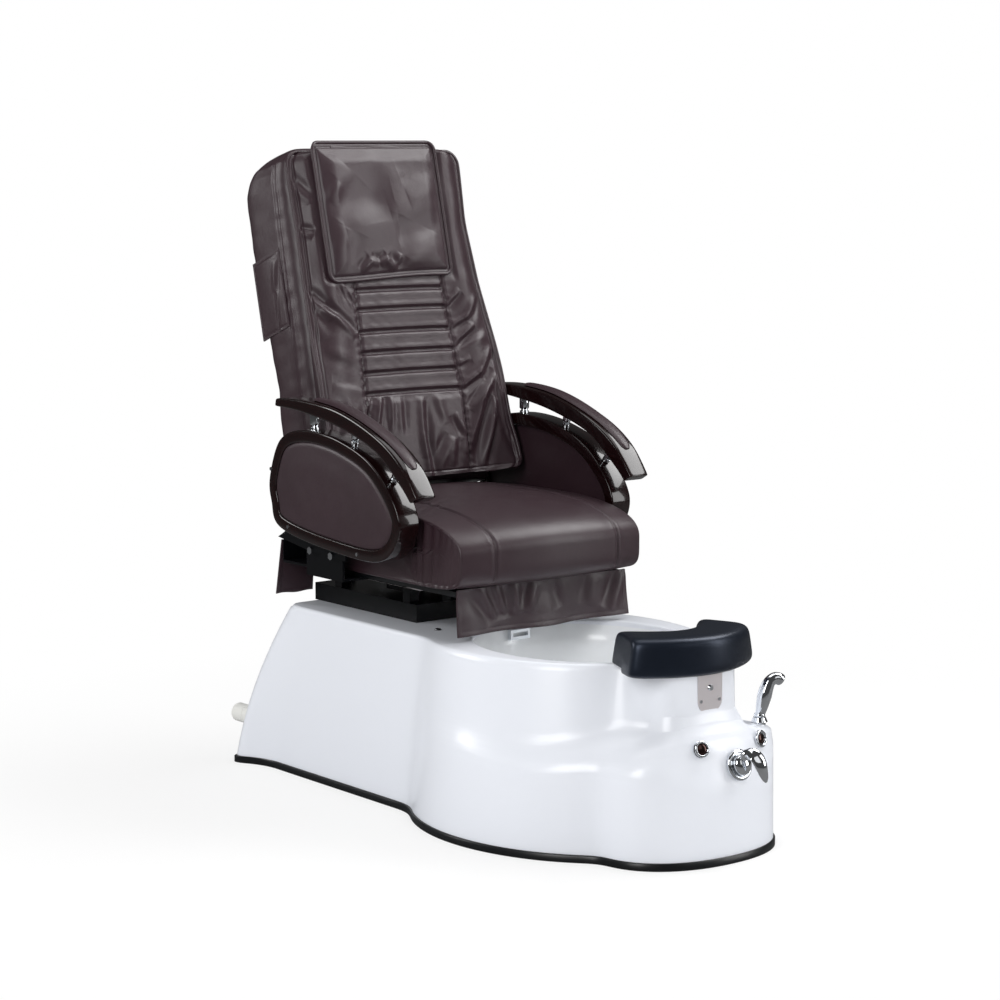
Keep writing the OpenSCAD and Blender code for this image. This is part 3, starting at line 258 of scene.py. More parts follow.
def both_sides(points, faces):
    """A mesh and its mirror image in one."""
    count = len(points)
    mirrored = np.asarray(points) * [-1, 1, 1]
    flipped = [tuple(count + i for i in reversed(f)) for f in faces]
    return np.concatenate([points, mirrored]), list(faces) + flipped


def joined(*meshes):
    points, faces, start = [], [], 0
    for p, f in meshes:
        points.append(np.asarray(p, float))
        faces += [tuple(start + i for i in face) for face in f]
        start += len(p)
    return np.concatenate(points), faces


def tube_mesh(path, radius, closed=False, sides=12):
    """Round cord along a path of points."""
    path = np.asarray(path, float)
    if closed:
        way = np.roll(path, -1, 0) - np.roll(path, 1, 0)
    else:
        way = np.gradient(path, axis=0)
    way /= np.linalg.norm(way, axis=1)[:, None]
    radii = np.broadcast_to(radius, len(path))
    up = np.cross(way[0], [0.31, 0.52, 0.8])
    turn = circle(sides)[:, None]
    rings = []
    for p, t, r in zip(path, way, radii):
        up = up - t * (up @ t)
        up /= np.linalg.norm(up)
        across = np.cross(t, up)
        rings.append(p + r * (np.cos(turn) * up + np.sin(turn) * across))
    return rings_mesh(rings, closed)


def leaf_mesh(path, widths, thick, outwards, sides=20):
    """A flat-oval bar along a path, with its broad face turned outwards."""
    path = np.asarray(path, float)
    way = np.gradient(path, axis=0)
    turn = circle(sides)[:, None]
    rings = []
    for p, t, w, h in zip(path, way, widths, thick):
        side = np.cross(t, outwards)
        side /= np.linalg.norm(side)
        face = np.cross(side, t / np.linalg.norm(t))
        rings.append(p + w * np.cos(turn) * side + h * np.sin(turn) * face)
    return rings_mesh(rings)


def turning(a, b, profile, sides=28):
    """Lathe shape from a to b; the profile holds pairs of share along and radius."""
    a, b = np.array(a), np.array(b)
    way = (b - a) / np.linalg.norm(b - a)
    side = np.cross(way, [1, 0.1, 0])
    side /= np.linalg.norm(side)
    other = np.cross(way, side)
    turn = circle(sides)[:, None]
    return rings_mesh([
        mix(a, b, t) + r * (np.cos(turn) * side + np.sin(turn) * other) for t, r in profile
    ])


def carve(piece, points, faces):
    """Cut a closed shape out of a piece and keep the result as a plain mesh."""
    cutter = show("cutter", closed_mesh("cutter", points, faces))
    cut = piece.modifiers.new("cut", "BOOLEAN")
    cut.operation, cut.solver, cut.object = "DIFFERENCE", "EXACT", cutter
    make_plain(piece)
    bpy.data.objects.remove(cutter)


print("mesh makers ready")

# %% [markdown]
# ## Shader maths as Python
#
# A material is a small graph of nodes. Writing it as sums and products of values reads
# better than a list of links, so one class wraps a socket and adds a Math node for each
# operator. Every other node comes from one method of the finish that owns the graph.


# %% Values and finishes
class Value:
    def __init__(self, finish, socket):
        self.finish = finish
        self.socket = socket

    def maths(self, operation, one, two):
        return self.finish.add("ShaderNodeMath", {"operation": operation}, {0: one, 1: two})

    def __add__(self, other):
        return self.maths("ADD", self, other)

    def __radd__(self, other):
        return self.maths("ADD", other, self)

    def __mul__(self, other):
        return self.maths("MULTIPLY", self, other)


class Finish:
    def __init__(self, slot, **settings):
        self.material = bpy.data.materials.new(slot)
        self.material.use_nodes = True
        self.tree = self.material.node_tree
        self.surface = self.tree.nodes["Principled BSDF"]
        self.set(**settings)
        finishes[slot] = self.material

    def plug(self, socket, value):
        if isinstance(value, Value):
            self.tree.links.new(value.socket, socket)
        else:
            socket.default_value = value

    def set(self, **settings):
        for key, value in settings.items():
            self.plug(self.surface.inputs[key.replace("_", " ")], value)

    def add(self, kind, settings=None, sockets=None, out=0):
        node = self.tree.nodes.new(kind)
        for key, value in (settings or {}).items():
            if key == "stops":
                ramp = node.color_ramp.elements
                for spot, (place, colour) in enumerate(value):
                    stop = ramp[spot] if spot < len(ramp) else ramp.new(place)
                    stop.position, stop.color = place, colour
            else:
                setattr(node, key, value)
        for key, value in (sockets or {}).items():
            self.plug(node.inputs[key], value)
        return Value(self, node.outputs[out])

    def place(self, scale=(1, 1, 1)):
        where = self.add("ShaderNodeTexCoord", out="Object")
        return self.add("ShaderNodeMapping", None, {"Vector": where, "Scale": scale})

    def noise(self, scale, detail=3.0, rough=0.5, stretch=(1, 1, 1)):
        return self.add("ShaderNodeTexNoise", None, {
            "Vector": self.place(stretch), "Scale": scale, "Detail": detail, "Roughness": rough,
        })

    def bump(self, height, distance, strength=1.0, under=None):
        sockets = {"Height": height, "Distance": distance, "Strength": strength}
        if under is not None:
            sockets["Normal"] = under
        return self.add("ShaderNodeBump", None, sockets)

    def blend(self, amount, one, two):
        return self.add("ShaderNodeMix", {"data_type": "RGBA"}, {0: amount, 6: one, 7: two}, 2)


def colour(code):
    """A display colour such as #3d2f35 as linear red, green, blue and alpha."""
    parts = [int(code[i:i + 2], 16) / 255 for i in (1, 3, 5)]
    lin = [c / 12.92 if c <= 0.04045 else ((c + 0.055) / 1.055) ** 2.4 for c in parts]
    return (*lin, 1.0)


# %% [markdown]
# ## Finishes
#
# The upholstery is a satin synthetic leather: dark, with a fine pebble grain that only
# shows where light grazes it, and a faint change of tone from place to place. The arms are
# wood under a thick clear lacquer, so a dark base gets a full coat on top. The base is
# glossy moulded acrylic. Chrome is a near-white metal that lives on what it reflects.

# %% Leather and lacquer
leather = Finish("leather", Metallic=0.0)
pebbles = leather.add("ShaderNodeTexVoronoi", {"feature": "DISTANCE_TO_EDGE"}, {
    "Vector": leather.place(), "Scale": 520.0, "Randomness": 1.0,
})
skin = leather.noise(24.0, 4.0)
tone = leather.noise(5.0, 2.0)
leather.set(**{
    "Base_Color": leather.blend(tone * 0.8 + skin * 0.2, colour("#2b1b21"), colour("#38262d")),
    "Roughness": 0.36 + skin * 0.12,
    "Normal": leather.bump(
        pebbles, 0.00025, 0.35, leather.bump(leather.noise(70.0, 2.0), 0.0005, 0.5)
    ),
    "Specular_IOR_Level": 0.6,
})

lacquer = Finish(
    "lacquer", Roughness=0.22, Specular_IOR_Level=0.2, Coat_Weight=0.7, Coat_Roughness=0.05
)
figure = lacquer.noise(9.0, 5.0, 0.6, (6.0, 1.0, 3.0))
lacquer.set(Base_Color=lacquer.blend(figure, colour("#080304"), colour("#1c0707")))

# %% Moulded, metal and plain finishes
Finish(
    "gel_white", Base_Color=colour("#eaedf4"), Roughness=0.32, Coat_Weight=0.3, Coat_Roughness=0.16
)
Finish("basin_grey", Base_Color=colour("#f4f6f8"), Roughness=0.2, Coat_Weight=0.3)
Finish("trim_black", Base_Color=colour("#0e1013"), Roughness=0.33)
skin_foam = Finish("skin_foam", Base_Color=colour("#11161f"))
grain = skin_foam.noise(260.0, 2.0)
skin_foam.set(Specular_Tint=colour("#c9d6f2"), Roughness=0.30 + grain * 0.10)
skin_foam.set(Normal=skin_foam.bump(grain, 0.00012, 0.5))
Finish("smoked", Base_Color=colour("#43322f"), Roughness=0.10, Metallic=0.9)
Finish("frame_black", Base_Color=colour("#08090c"), Roughness=0.34, Specular_IOR_Level=0.2)
Finish("frame_grey", Base_Color=colour("#8b9096"), Roughness=0.45, Metallic=0.6)
Finish("chrome", Base_Color=colour("#e3e6ea"), Roughness=0.06, Metallic=1.0)
steel = Finish("steel", Base_Color=colour("#dcd6d8"), Metallic=0.55)
steel.set(Roughness=0.26 + steel.noise(90.0, 2.0, 0.5, (1.0, 1.0, 40.0)) * 0.14)
Finish("pipe_white", Base_Color=colour("#e8e8e4"), Roughness=0.35)
Finish("rubber", Base_Color=colour("#141414"), Roughness=0.8)
Finish("thread", Base_Color=colour("#4a3a42"), Roughness=0.55)
print(len(finishes), "finishes")

# %% Give every CAD node its finish
slots = {s["node"]: s["material_slot"] for s in frame["record"]["subparts"]}
for name, slot in slots.items():
    mesh = nodes[name].data
    mesh.materials.clear()
    mesh.materials.append(finishes[slot])
print("finished", len(slots), "CAD nodes")

# %% [markdown]
# ## Camera and light
#
# The camera stands at a low three-quarter angle with a long lens, so upright lines stay
# upright. The studio is plain: a pale floor, a soft dome and six soft boxes. The camera and
# clear pieces see the backdrop as white, while the light that falls on the chair stays at a
# level at which its colours look as they are written. Reflections see a much dimmer dome
# and floor, as if dark flags stood round the chair, so that black and lacquered wood stay
# black and the soft boxes show in them as clean highlights.

# %% Camera
camera_data = bpy.data.cameras.new("camera")
camera_data.sensor_width = 36.0
camera_data.lens = 96.02
camera_data.clip_end = 60.0
camera = show("camera", camera_data)
azimuth, elevation = math.radians(-38.296053), math.radians(7.74476)
camera.location = (-3.617637, -4.564906, 1.453964)
ahead = Vector((
    -math.sin(azimuth) * math.cos(elevation),
    math.cos(azimuth) * math.cos(elevation),
    -math.sin(elevation),
))
camera.rotation_euler = ahead.to_track_quat("-Z", "Y").to_euler()
scene.camera = camera
scene.view_settings.view_transform = "Standard"
print("camera looks along", [round(c, 4) for c in ahead])


# %% Lamps, floor and backdrop
def soft_box(name, place, target, size, power):
    lamp = bpy.data.lights.new(name, "AREA")
    lamp.shape = "RECTANGLE"
    lamp.size, lamp.size_y = size
    lamp.energy = power
    ob = show(name, lamp)
    ob.location = place
    ob.rotation_euler = (Vector(target) - Vector(place)).to_track_quat("-Z", "Y").to_euler()


soft_box("key", (-3.4, -1.6, 2.4), (0, 0, 0.7), (1.4, 2.2), 66)
soft_box("flank", (-2.6, 2.4, 1.9), (0, 0.3, 1.0), (1.2, 1.4), 34)
soft_box("front", (0.6, -4.2, 2.2), (0, 0, 0.5), (1.6, 1.8), 8)
soft_box("bolster", (2.0, -0.7, 3.2), (0, -0.1, 0.7), (1.9, 1.9), 76)
soft_box("top", (0.0, 0.2, 4.0), (0, 0, 0.6), (2.4, 2.4), 34)
soft_box("sheen", (2.5, -3.0, 1.5), (0, 0, 0.8), (1.1, 2.3), 39)

world = bpy.data.worlds.new("studio")
world.use_nodes = True
scene.world = world
sky = world.node_tree
path = sky.nodes.new("ShaderNodeLightPath").outputs


def sky_maths(operation, *values):
    node = sky.nodes.new("ShaderNodeMath")
    node.operation = operation
    for socket, value in zip(node.inputs, values):
        if isinstance(value, bpy.types.NodeSocket):
            sky.links.new(value, socket)
        else:
            socket.default_value = value
    return node.outputs[0]


# White where it is seen, a soft dome for light, and dim in reflections, as dark flags make it.
seen = sky_maths("MAXIMUM", path["Is Camera Ray"], path["Is Transmission Ray"])
dome = sky_maths("MULTIPLY_ADD", path["Is Glossy Ray"], -0.24, 0.30)
strength = sky_maths("MULTIPLY_ADD", seen, 0.70, dome)
sky.nodes["Background"].inputs["Color"].default_value = (1, 1, 1, 1)
sky.links.new(strength, sky.nodes["Background"].inputs["Strength"])

# The floor near the chair keeps its shadow; further out it fades to the white of the backdrop.
ground = Finish("studio_floor", Base_Color=(0.9, 0.9, 0.9, 1), Roughness=0.9)
away = ground.add("ShaderNodeVectorMath", {"operation": "LENGTH"}, {0: ground.place()}, 1)
fade = ground.add("ShaderNodeMapRange", {"interpolation_type": "SMOOTHSTEP"}, {
    "Value": away, "From Min": 0.7, "From Max": 1.9, "To Min": 0.72, "To Max": 1.0,
})
seen_ray = ground.add("ShaderNodeLightPath", out="Is Camera Ray")
glow = ground.add("ShaderNodeEmission", None, {"Color": (1, 1, 1, 1), "Strength": 1.0})
mirrored = ground.add("ShaderNodeLightPath", out="Is Glossy Ray")
black = ground.add("ShaderNodeEmission", None, {"Strength": 0.0})
dimmed = ground.add("ShaderNodeMixShader", None, {
    0: mirrored * 0.80, 1: Value(ground, ground.surface.outputs[0]), 2: black,
})
shown = ground.add("ShaderNodeMixShader", None, {0: fade * seen_ray, 1: dimmed, 2: glow})
ground.plug(ground.tree.nodes["Material Output"].inputs["Surface"], shown)
floor_mesh = bpy.data.meshes.new("floor")
reach = 14.0
corners = [(-reach, -reach, 0), (reach, -reach, 0), (reach, reach, 0), (-reach, reach, 0)]
floor_mesh.from_pydata(corners, [], [(0, 1, 2, 3)])
floor_mesh.materials.append(ground.material)
floor = show("floor", floor_mesh)
floor.location.z = -0.0005
print("studio ready")

# %% [markdown]
# ## The moulded base
#
# The real base is one glossy acrylic moulding: a plinth under the seat, a bulging foot tub
# and a console lobe in front. Its surface is ruled by two outlines, one at the floor and
# one at the deck, and by how far the wall has moved from the first to the second at each
# height. Rings at close heights give a surface smooth enough for sharp reflections.

# %% Outlines of the base
DECK, WALL, KICK = 0.390, 0.005, 0.016
PLINTH, DECK_HALF, FLARE, REAR, REAR_DECK = 0.268, 0.253, 0.054, 0.636, 0.490
SKIRT_A, SKIRT_B, SKIRT_Y = 0.349, 0.395, -0.262
RIM_A, RIM_B, RIM_Y = 0.289, 0.345, -0.210
MOUTH, MOUTH_FRONT, MOUTH_REAR, DRAIN_Y, BASIN_FLOOR = 0.227, 0.264, 0.250, -0.270, 0.098
LOBE, CONSOLE, NOSE, NOSE_HALF = 0.212, 0.740, 0.668, 0.105
FLARE_RUN, REAR_BULGE = 0.127, 0.008
TUCK, TUCK_RUN, DECK_BULGE = 0.006, 0.07, 0.004
SPINE_FRONT, SPINE_REAR, SOFTENINGS = -0.43, 0.38, 9


def join_y(half, a, b, y):
    """Where a lobe of some half width meets the front of an oval."""
    return y - b * math.sqrt(1 - (half / a) ** 2)


def lobe(s, half, joint, front, n):
    """A superellipse from the front of the console to where it meets the tub."""
    x = half * math.sin(math.pi / 2 * s) ** (2 / n)
    return x, joint - (front + joint) * max(0, math.cos(math.pi / 2 * s)) ** (2 / n)


def tub_arc(s, half, a, b, y, w):
    """The oval of the tub, from the console to the half width w of the plinth."""
    t = mix(math.asin(half / a), math.pi - math.asin(w / a), s)
    return a * math.sin(t), y - b * math.cos(t)


# q runs round half an outline: to 1 the console, to 2 the tub, to 3 the flank, to 4 the rear
SKIRT_JOIN = join_y(LOBE, SKIRT_A, SKIRT_B, SKIRT_Y)
RIM_JOIN = join_y(NOSE_HALF, RIM_A, RIM_B, RIM_Y)
SKIRT_END = tub_arc(1, LOBE, SKIRT_A, SKIRT_B, SKIRT_Y, PLINTH)
RIM_END = tub_arc(1, NOSE_HALF, RIM_A, RIM_B, RIM_Y, DECK_HALF)


def lower_point(q):
    if q <= 1:
        return lobe(q, LOBE, SKIRT_JOIN, CONSOLE, 2.25)
    if q <= 2:
        return tub_arc(q - 1, LOBE, SKIRT_A, SKIRT_B, SKIRT_Y, PLINTH)
    if q <= 3:
        y = mix(SKIRT_END[1], REAR, q - 2)
        return PLINTH + FLARE * max(0, (y - REAR + FLARE_RUN) / FLARE_RUN) ** 2, y
    return (PLINTH + FLARE) * (4 - q), REAR + REAR_BULGE * math.sin(math.pi / 2 * (q - 3))


def upper_point(q):
    if q <= 1:
        return lobe(q, NOSE_HALF, RIM_JOIN, NOSE, 4)
    if q <= 2:
        return tub_arc(q - 1, NOSE_HALF, RIM_A, RIM_B, RIM_Y, DECK_HALF)
    if q <= 3:
        y = mix(RIM_END[1], REAR_DECK, q - 2)
        return DECK_HALF - TUCK * max(0, (y - REAR_DECK + TUCK_RUN) / TUCK_RUN) ** 2, y
    return (DECK_HALF - TUCK) * (4 - q), REAR_DECK + DECK_BULGE * math.sin(math.pi / 2 * (q - 3))


# knees of the wall: where it is along the outline, then height and share of the way in
TUB_KNEES = [
    (1, 0.200, 0.04, 0.231, 0.32, 0.262, 0.65), (1.25, 0.185, 0.075, 0.205, 0.25, 0.225, 0.52),
    (1.6, 0.200, 0.22, 0.220, 0.37, 0.240, 0.5),
    (2, 0.200, 0.200 / DECK, 0.220, 0.220 / DECK, 0.240, 0.240 / DECK),
]
LEFT_KNEES = np.array([
    (0, 0.150, 0.03, 0.250, 0.42, 0.288, 0.97), (0.3, 0.160, 0.03, 0.252, 0.4, 0.285, 0.97),
    (0.45, 0.180, 0.03, 0.245, 0.4, 0.276, 0.96), (0.65, 0.195, 0.03, 0.238, 0.42, 0.266, 0.95),
    (0.8, 0.200, 0.03, 0.235, 0.42, 0.262, 0.95),
] + TUB_KNEES)
RIGHT_KNEES = np.array([
    (0, 0.150, 0.03, 0.250, 0.42, 0.288, 0.97), (0.3, 0.165, 0.03, 0.252, 0.36, 0.282, 0.97),
    (0.45, 0.190, 0.03, 0.250, 0.18, 0.266, 0.96), (0.65, 0.215, 0.03, 0.248, 0.08, 0.258, 0.95),
    (0.8, 0.220, 0.03, 0.248, 0.1, 0.256, 0.95),
] + TUB_KNEES)


def rise(q, z, side):
    """Share of the way from the lower to the upper outline, with its bends rounded."""
    h = z / DECK
    if q > 2:
        return mix(h, h ** 1.9, float(smooth((q - 2.55) / 0.45)) if q <= 3 else 1)
    knees = LEFT_KNEES if side < 0 else RIGHT_KNEES
    row = [np.interp(q, knees[:, 0], knees[:, j]) for j in range(1, 7)]
    round_by = 0.005 if side > 0 and 0.4 < q < 0.95 else 0.013
    around = z + round_by * np.array([-1.6, -0.8, 0, 0.8, 1.6])
    ways = np.interp(around, [0, row[0], row[2], row[4], DECK], [0, row[1], row[3], row[5], 1])
    ways[around > DECK] += (around[around > DECK] - DECK) / (DECK - row[4]) * (1 - row[5])
    return float(ways @ [0.12, 0.23, 0.3, 0.23, 0.12])


# %% Even steps round the base
def side_point(q, z, side=-1):
    low, high, k = lower_point(q), upper_point(q), rise(q, z, side)
    return mix(low[0], high[0], z / DECK if q > 2 else k), mix(low[1], high[1], k)


fine = np.linspace(0, 4, 2401)
track = np.array([side_point(q, 0.2) for q in fine]) + np.array([side_point(q, 0.36) for q in fine])
walked = np.concatenate([[0], np.cumsum(np.linalg.norm(np.diff(track, axis=0), axis=1))])
HALF_STEPS = 150
steps = np.interp(np.linspace(0, walked[-1], HALF_STEPS + 1), walked, fine)
softened = sum(bell(steps - q, w) for q, w in ((1, 0.15), (2, 0.06), (3, 0.04)))


def base_ring(z, d, z_shape):
    """Closed ring of the base at height z, moved inward by d."""
    right = np.array([side_point(q, z_shape, 1) for q in steps])
    left = np.array([side_point(q, z_shape, -1) for q in steps[-2:0:-1]])
    ring = np.concatenate([right, left * [-1, 1]])
    soft = np.concatenate([softened, softened[-2:0:-1]])[:, None] * 0.5
    for _ in range(SOFTENINGS):
        ring = ring + soft * ((np.roll(ring, 1, 0) + np.roll(ring, -1, 0)) / 2 - ring)
    axis = columns(0, np.clip(ring[:, 1], SPINE_FRONT, SPINE_REAR))
    out = ring - axis
    ring = ring - d * out / np.linalg.norm(out, axis=1)[:, None]
    return columns(*ring.T, z)


rim_ring = base_ring(DECK, 0, DECK)
spokes = rim_ring[:, :2] - [0, DRAIN_Y]
spokes /= np.linalg.norm(spokes, axis=1)[:, None]
mouth_long = np.where(spokes[:, 1] < 0, MOUTH_FRONT, MOUTH_REAR)
mouth_radius = 1 / np.sqrt((spokes[:, 0] / MOUTH) ** 2 + (spokes[:, 1] / mouth_long) ** 2)


def mouth_ring(z, d):
    flat = spokes * (mouth_radius + d)[:, None] + [0, DRAIN_Y]
    return columns(*flat.T, z)


print("base ring has", len(rim_ring), "points")

# %% Base shell
EDGE, LIP = 0.008, 0.006
INNER_TOP = DECK - 0.02
heights = np.unique(np.round(np.concatenate([
    np.linspace(KICK, 0.14, 12), np.linspace(0.14, 0.300, 62), np.linspace(0.300, DECK - EDGE, 12)
]), 5))
rings = [base_ring(z, 0, z) for z in heights]
round_edge = np.linspace(0, math.pi / 2, 6)[1:]
for t in round_edge:
    rings.append(base_ring(DECK - EDGE + EDGE * math.sin(t), EDGE * (1 - math.cos(t)), DECK))
outer_edge, lip_edge = rings[-1], mouth_ring(DECK, LIP)
rings += [mix(outer_edge, lip_edge, t) for t in (0.25, 0.5, 0.75, 1)]
for t in round_edge:
    rings.append(mouth_ring(DECK - LIP * (1 - math.cos(t)), LIP * (1 - math.sin(t))))
rings += [mouth_ring(INNER_TOP, 0), mouth_ring(INNER_TOP, 0.004)]
rings += [base_ring(INNER_TOP, 0.014, INNER_TOP)]
rings += [base_ring(z, WALL + 0.001, z) for z in (0.31, 0.262, 0.215, 0.17, KICK)]
points, faces = rings_mesh(rings, closed=True)
add_piece("base_moulding", points, faces, "gel_white", "base", ["base_shell"], 60)
print("base shell", len(faces), "faces")

# %% Basin
profile = spline([
    (DECK - 0.006, 0.0008), (DECK - 0.03, -0.003), (DECK - 0.07, -0.010), (0.197, -0.018),
    (BASIN_FLOOR + 0.04, -0.030), (BASIN_FLOOR + 0.018, -0.048), (BASIN_FLOOR + 0.006, -0.080),
], 5)
rings = [mouth_ring(z, d) for z, d in profile]
floor_edge = rings[-1]
DRAIN_R = 0.026
drain = columns(*(spokes * DRAIN_R + [0, DRAIN_Y]).T, BASIN_FLOOR)
rings += [mix(floor_edge, drain, t) for t in (0.3, 0.6, 1.0)]
rings += [drain - [0, 0, WALL]]
rings += [mouth_ring(z - (WALL if d < -0.04 else 0), d + WALL) for z, d in profile[::-4]]
points, faces = rings_mesh(rings, closed=True)
add_piece("basin_moulding", points, faces, "basin_grey", "base", ["basin"], 60)

# %% Kick strip
PROUD = 0.004
section = [(0, PROUD), (KICK - 0.002, PROUD), (KICK, PROUD - 0.002), (KICK, -0.009), (0, -0.009)]
rings = [base_ring(z, -out, 0.0) for z, out in section]
points, faces = rings_mesh(rings, closed=True)
add_piece("kick_trim", points, faces, "trim_black", "base", ["kick_strip"], 50)

# %% [markdown]
# ## The footrest
#
# The footrest is a moulded pad of satin polyurethane on two lifting posts. It sweeps in a
# shallow arc, is softly rounded on top, and its front hangs a little over the rim. A row of
# superellipse sections makes the arc, drafted so that it narrows upwards. Two Boolean cuts
# from below, one with the outline of the rim and one that frees both ends, leave the notch
# in which the pad sits on the rim, as the real mould has it.

# %% Footrest pad
PAD_HALF, PAD_FRONT, PAD_DEPTH = 0.172, -0.692, 0.126
PAD_HEIGHT, PAD_SKIRT, PAD_GAP = 0.069, 0.015, 0.0012
PAD_BOW, PAD_SWEEP, PAD_TAPER = 0.070, 0.080, 0.060
REAR_DRAFT, FRONT_DRAFT, END_DRAFT = 0.13, 0.035, 0.032


def end_steps(count, crowd, reach):
    """Places from almost -1 to almost 1 that crowd towards both ends."""
    t = np.linspace(-1, 1, count)
    return np.sign(t) * (1 - (1 - np.abs(t)) ** crowd) * reach


pad_middle = DECK + PAD_GAP + (PAD_HEIGHT - PAD_SKIRT) / 2
turn = circle(72)
rings = []
for e in end_steps(71, 2.2, 0.9995):
    k = round_off(e, 15)
    front = np.array([e * PAD_HALF, PAD_FRONT + PAD_BOW * e * e])
    rear = np.array([e * (PAD_HALF - PAD_TAPER), PAD_FRONT + PAD_DEPTH + PAD_SWEEP * e * e])
    over, up = oval(turn, 0.38)
    over = over * k * (1 - np.where(over > 0, REAR_DRAFT, FRONT_DRAFT) * (up + 1))
    flat = (front + rear) / 2 + over[:, None] * (rear - front) / 2
    flat[:, 0] *= 1 - END_DRAFT * (up + 1)
    rings.append(columns(*flat.T, pad_middle + (PAD_HEIGHT + PAD_SKIRT) / 2 * up * k))
points, faces = rings_mesh(rings)
footrest = add_piece(
    "footrest_cushion", points, faces, "trim_black", "footrest", ["footrest_pad"], 50, "skin_foam"
)
rim = base_ring(DECK, -0.004, DECK)[:, :2]
ends = np.array([
    (-0.30, -0.491), (-0.116, -0.576), (0.116, -0.576), (0.30, -0.491),
    (0.30, -0.30), (-0.30, -0.30),
])
for outline in (rim, ends):
    notch = [columns(*outline.T, z) for z in (DECK - 0.05, DECK + PAD_GAP)]
    carve(footrest, *rings_mesh(notch))
footrest.data.set_sharp_from_angle(angle=math.radians(50))
print("footrest pad", len(footrest.data.polygons), "faces")

# %% [markdown]
# ## Taps, knob and hand shower
#
# Chrome fittings are turned or cast, then polished, so they are shapes of revolution and
# smooth swept bars. A profile turned round the fitting's own axis gives the knob, its dark
# lens and the dome of the mixer. The lever is a leaf: a bar along a curve whose width swells
# and shrinks. The axes come from the joints of the CAD model, so each fitting stays on its
# own pivot when it moves.

# %% Knob, button and mixer
joints = {j["name"]: j for j in frame["joints"]}


def fitting(name, place, way, profile, slot, body, hides=(), finish=None, sides=48):
    """Turned piece; its profile pairs height over the wall with radius, in millimetres."""
    place, way = np.array(place), np.array(way) / np.linalg.norm(way)
    scaled = [(h / 1000, r / 1000) for h, r in profile]
    points, faces = turning(place, place + way, scaled, sides)
    return add_piece(name, points, faces, slot, body, hides, 35, finish)


def bead(height, radius, size, start, stop, count):
    """A round edge of a profile, from one angle to another."""
    turns = np.radians(np.linspace(start, stop, count))
    return [(height + size * math.sin(a), radius + size * math.cos(a)) for a in turns]


knob_at, knob_way = joints["drain_turn"]["pos_m"], np.array(joints["drain_turn"]["axis"])
ring = [(4.3, 7.0), (4.3, 15.0), (6.4, 16.4)] + bead(9.4, 14.2, 2.6, -60, 200, 14) + [(7.0, 10.4)]
fitting("knob_ring", knob_at, knob_way, ring, "chrome", "knob", ["drain_knob"])
cap = [(8.4 + 2.0 * math.cos(a), 11.4 * math.sin(a)) for a in np.radians(np.linspace(90, 2, 8))]
fitting("knob_lens", knob_at, knob_way, [(7.2, 10.8)] + cap, "chrome", "knob", [], "smoked")
mark_at = np.array(knob_at) + 0.0098 * knob_way + np.array([0.0062, -0.0012, -0.0052])
mark = [(-1, 1.7), (0.6, 1.7), (1.0, 1.1)]
fitting("knob_mark", mark_at, knob_way, mark, "chrome", "knob", sides=16)
low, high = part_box("jet_button")
press = -np.array(joints["button_press"]["axis"])
face_at = (np.array(low) + np.array(high)) / 2 + press * 0.0085
lens = [(-20, 9.9), (3.0, 9.9), (4.2, 8.6), (4.9, 5.6), (5.1, 2.0)]
fitting("button_lens", face_at, press, lens, "trim_black", "button", ["jet_button"], "smoked")
mixer_at, out_way = (np.array(joints["mixer_swing"][key]) for key in ("pos_m", "axis"))
rose = bead(4.6, 27.2, 5.4, -50, 175, 20)
fitting("mixer_rose", mixer_at, out_way, rose, "chrome", "base", sides=64)
dome = [(8, 20), (8.4, 22.2), (12, 22.6), (16, 22), (20, 19.8), (23, 16), (25, 10.5), (26, 4)]
fitting("mixer_dome", mixer_at, out_way, dome, "chrome", "mixer_cap", ["mixer_cap"], sides=64)
print("fittings on", knob_at, mixer_at)

# %% Leaf lever and hand shower
right_way = np.array([1, 0, 0]) - out_way[0] * out_way
up_way = np.cross(out_way, right_way)
leaf = spline([  # right, up, out and half width, in millimetres
    (-5, 9, 23.5, 6.5), (-4, 18, 34, 11.5), (2, 17, 46, 15), (8, 7, 52, 16),
    (12, -8, 54, 14.5), (17, -24, 52, 11.5), (21, -36, 50, 7.5), (23.5, -43, 49, 2.5),
], 8) / 1000
path = mixer_at + leaf[:, :1] * right_way + leaf[:, 1:2] * up_way + leaf[:, 2:3] * out_way
face_way = out_way + 0.35 * up_way - 0.3 * right_way
lever = leaf_mesh(path, leaf[:, 3], np.minimum(leaf[:, 3] * 0.4, 0.0045), face_way)
add_piece("mixer_leaf", *lever, "chrome", "mixer_lever", ["mixer_lever"], 60)
foot, ledge = np.array([0.168, -0.640, 0.0]), 0.2618
neck = spline([  # forward, up and radius, in millimetres
    (0, 4, 10), (3, 12, 11), (6, 24, 13), (11, 44, 15), (16, 60, 14), (23, 73, 12.5),
    (34, 79, 12.5), (44, 77, 13), (51, 73, 12),
], 8) / 1000
neck_path = foot + neck[:, :1] * [0.95, -0.3, 0] + columns(0, 0, ledge + neck[:, 1])
steps_left = len(neck) - np.arange(len(neck))
radii = neck[:, 2] * np.where(steps_left < 5, round_off((5 - steps_left) / 5, 2), 1)
stem = turning(foot, foot + [0, 0, 1], [
    (0.212, 0.008), (ledge - 0.0005, 0.008), (ledge, 0.0108), (ledge + 0.001, 0.0118),
    (ledge + 0.006, 0.0118), (ledge + 0.0075, 0.0106),
])
points, faces = joined(stem, tube_mesh(neck_path, radii, sides=32))
add_piece("shower_handle", points, faces, "chrome", "shower", ["hand_shower"], 45)
lever_length = float(np.linalg.norm(np.diff(path, axis=0), axis=1).sum())
print("lever is", round(lever_length * 1000), "mm along")

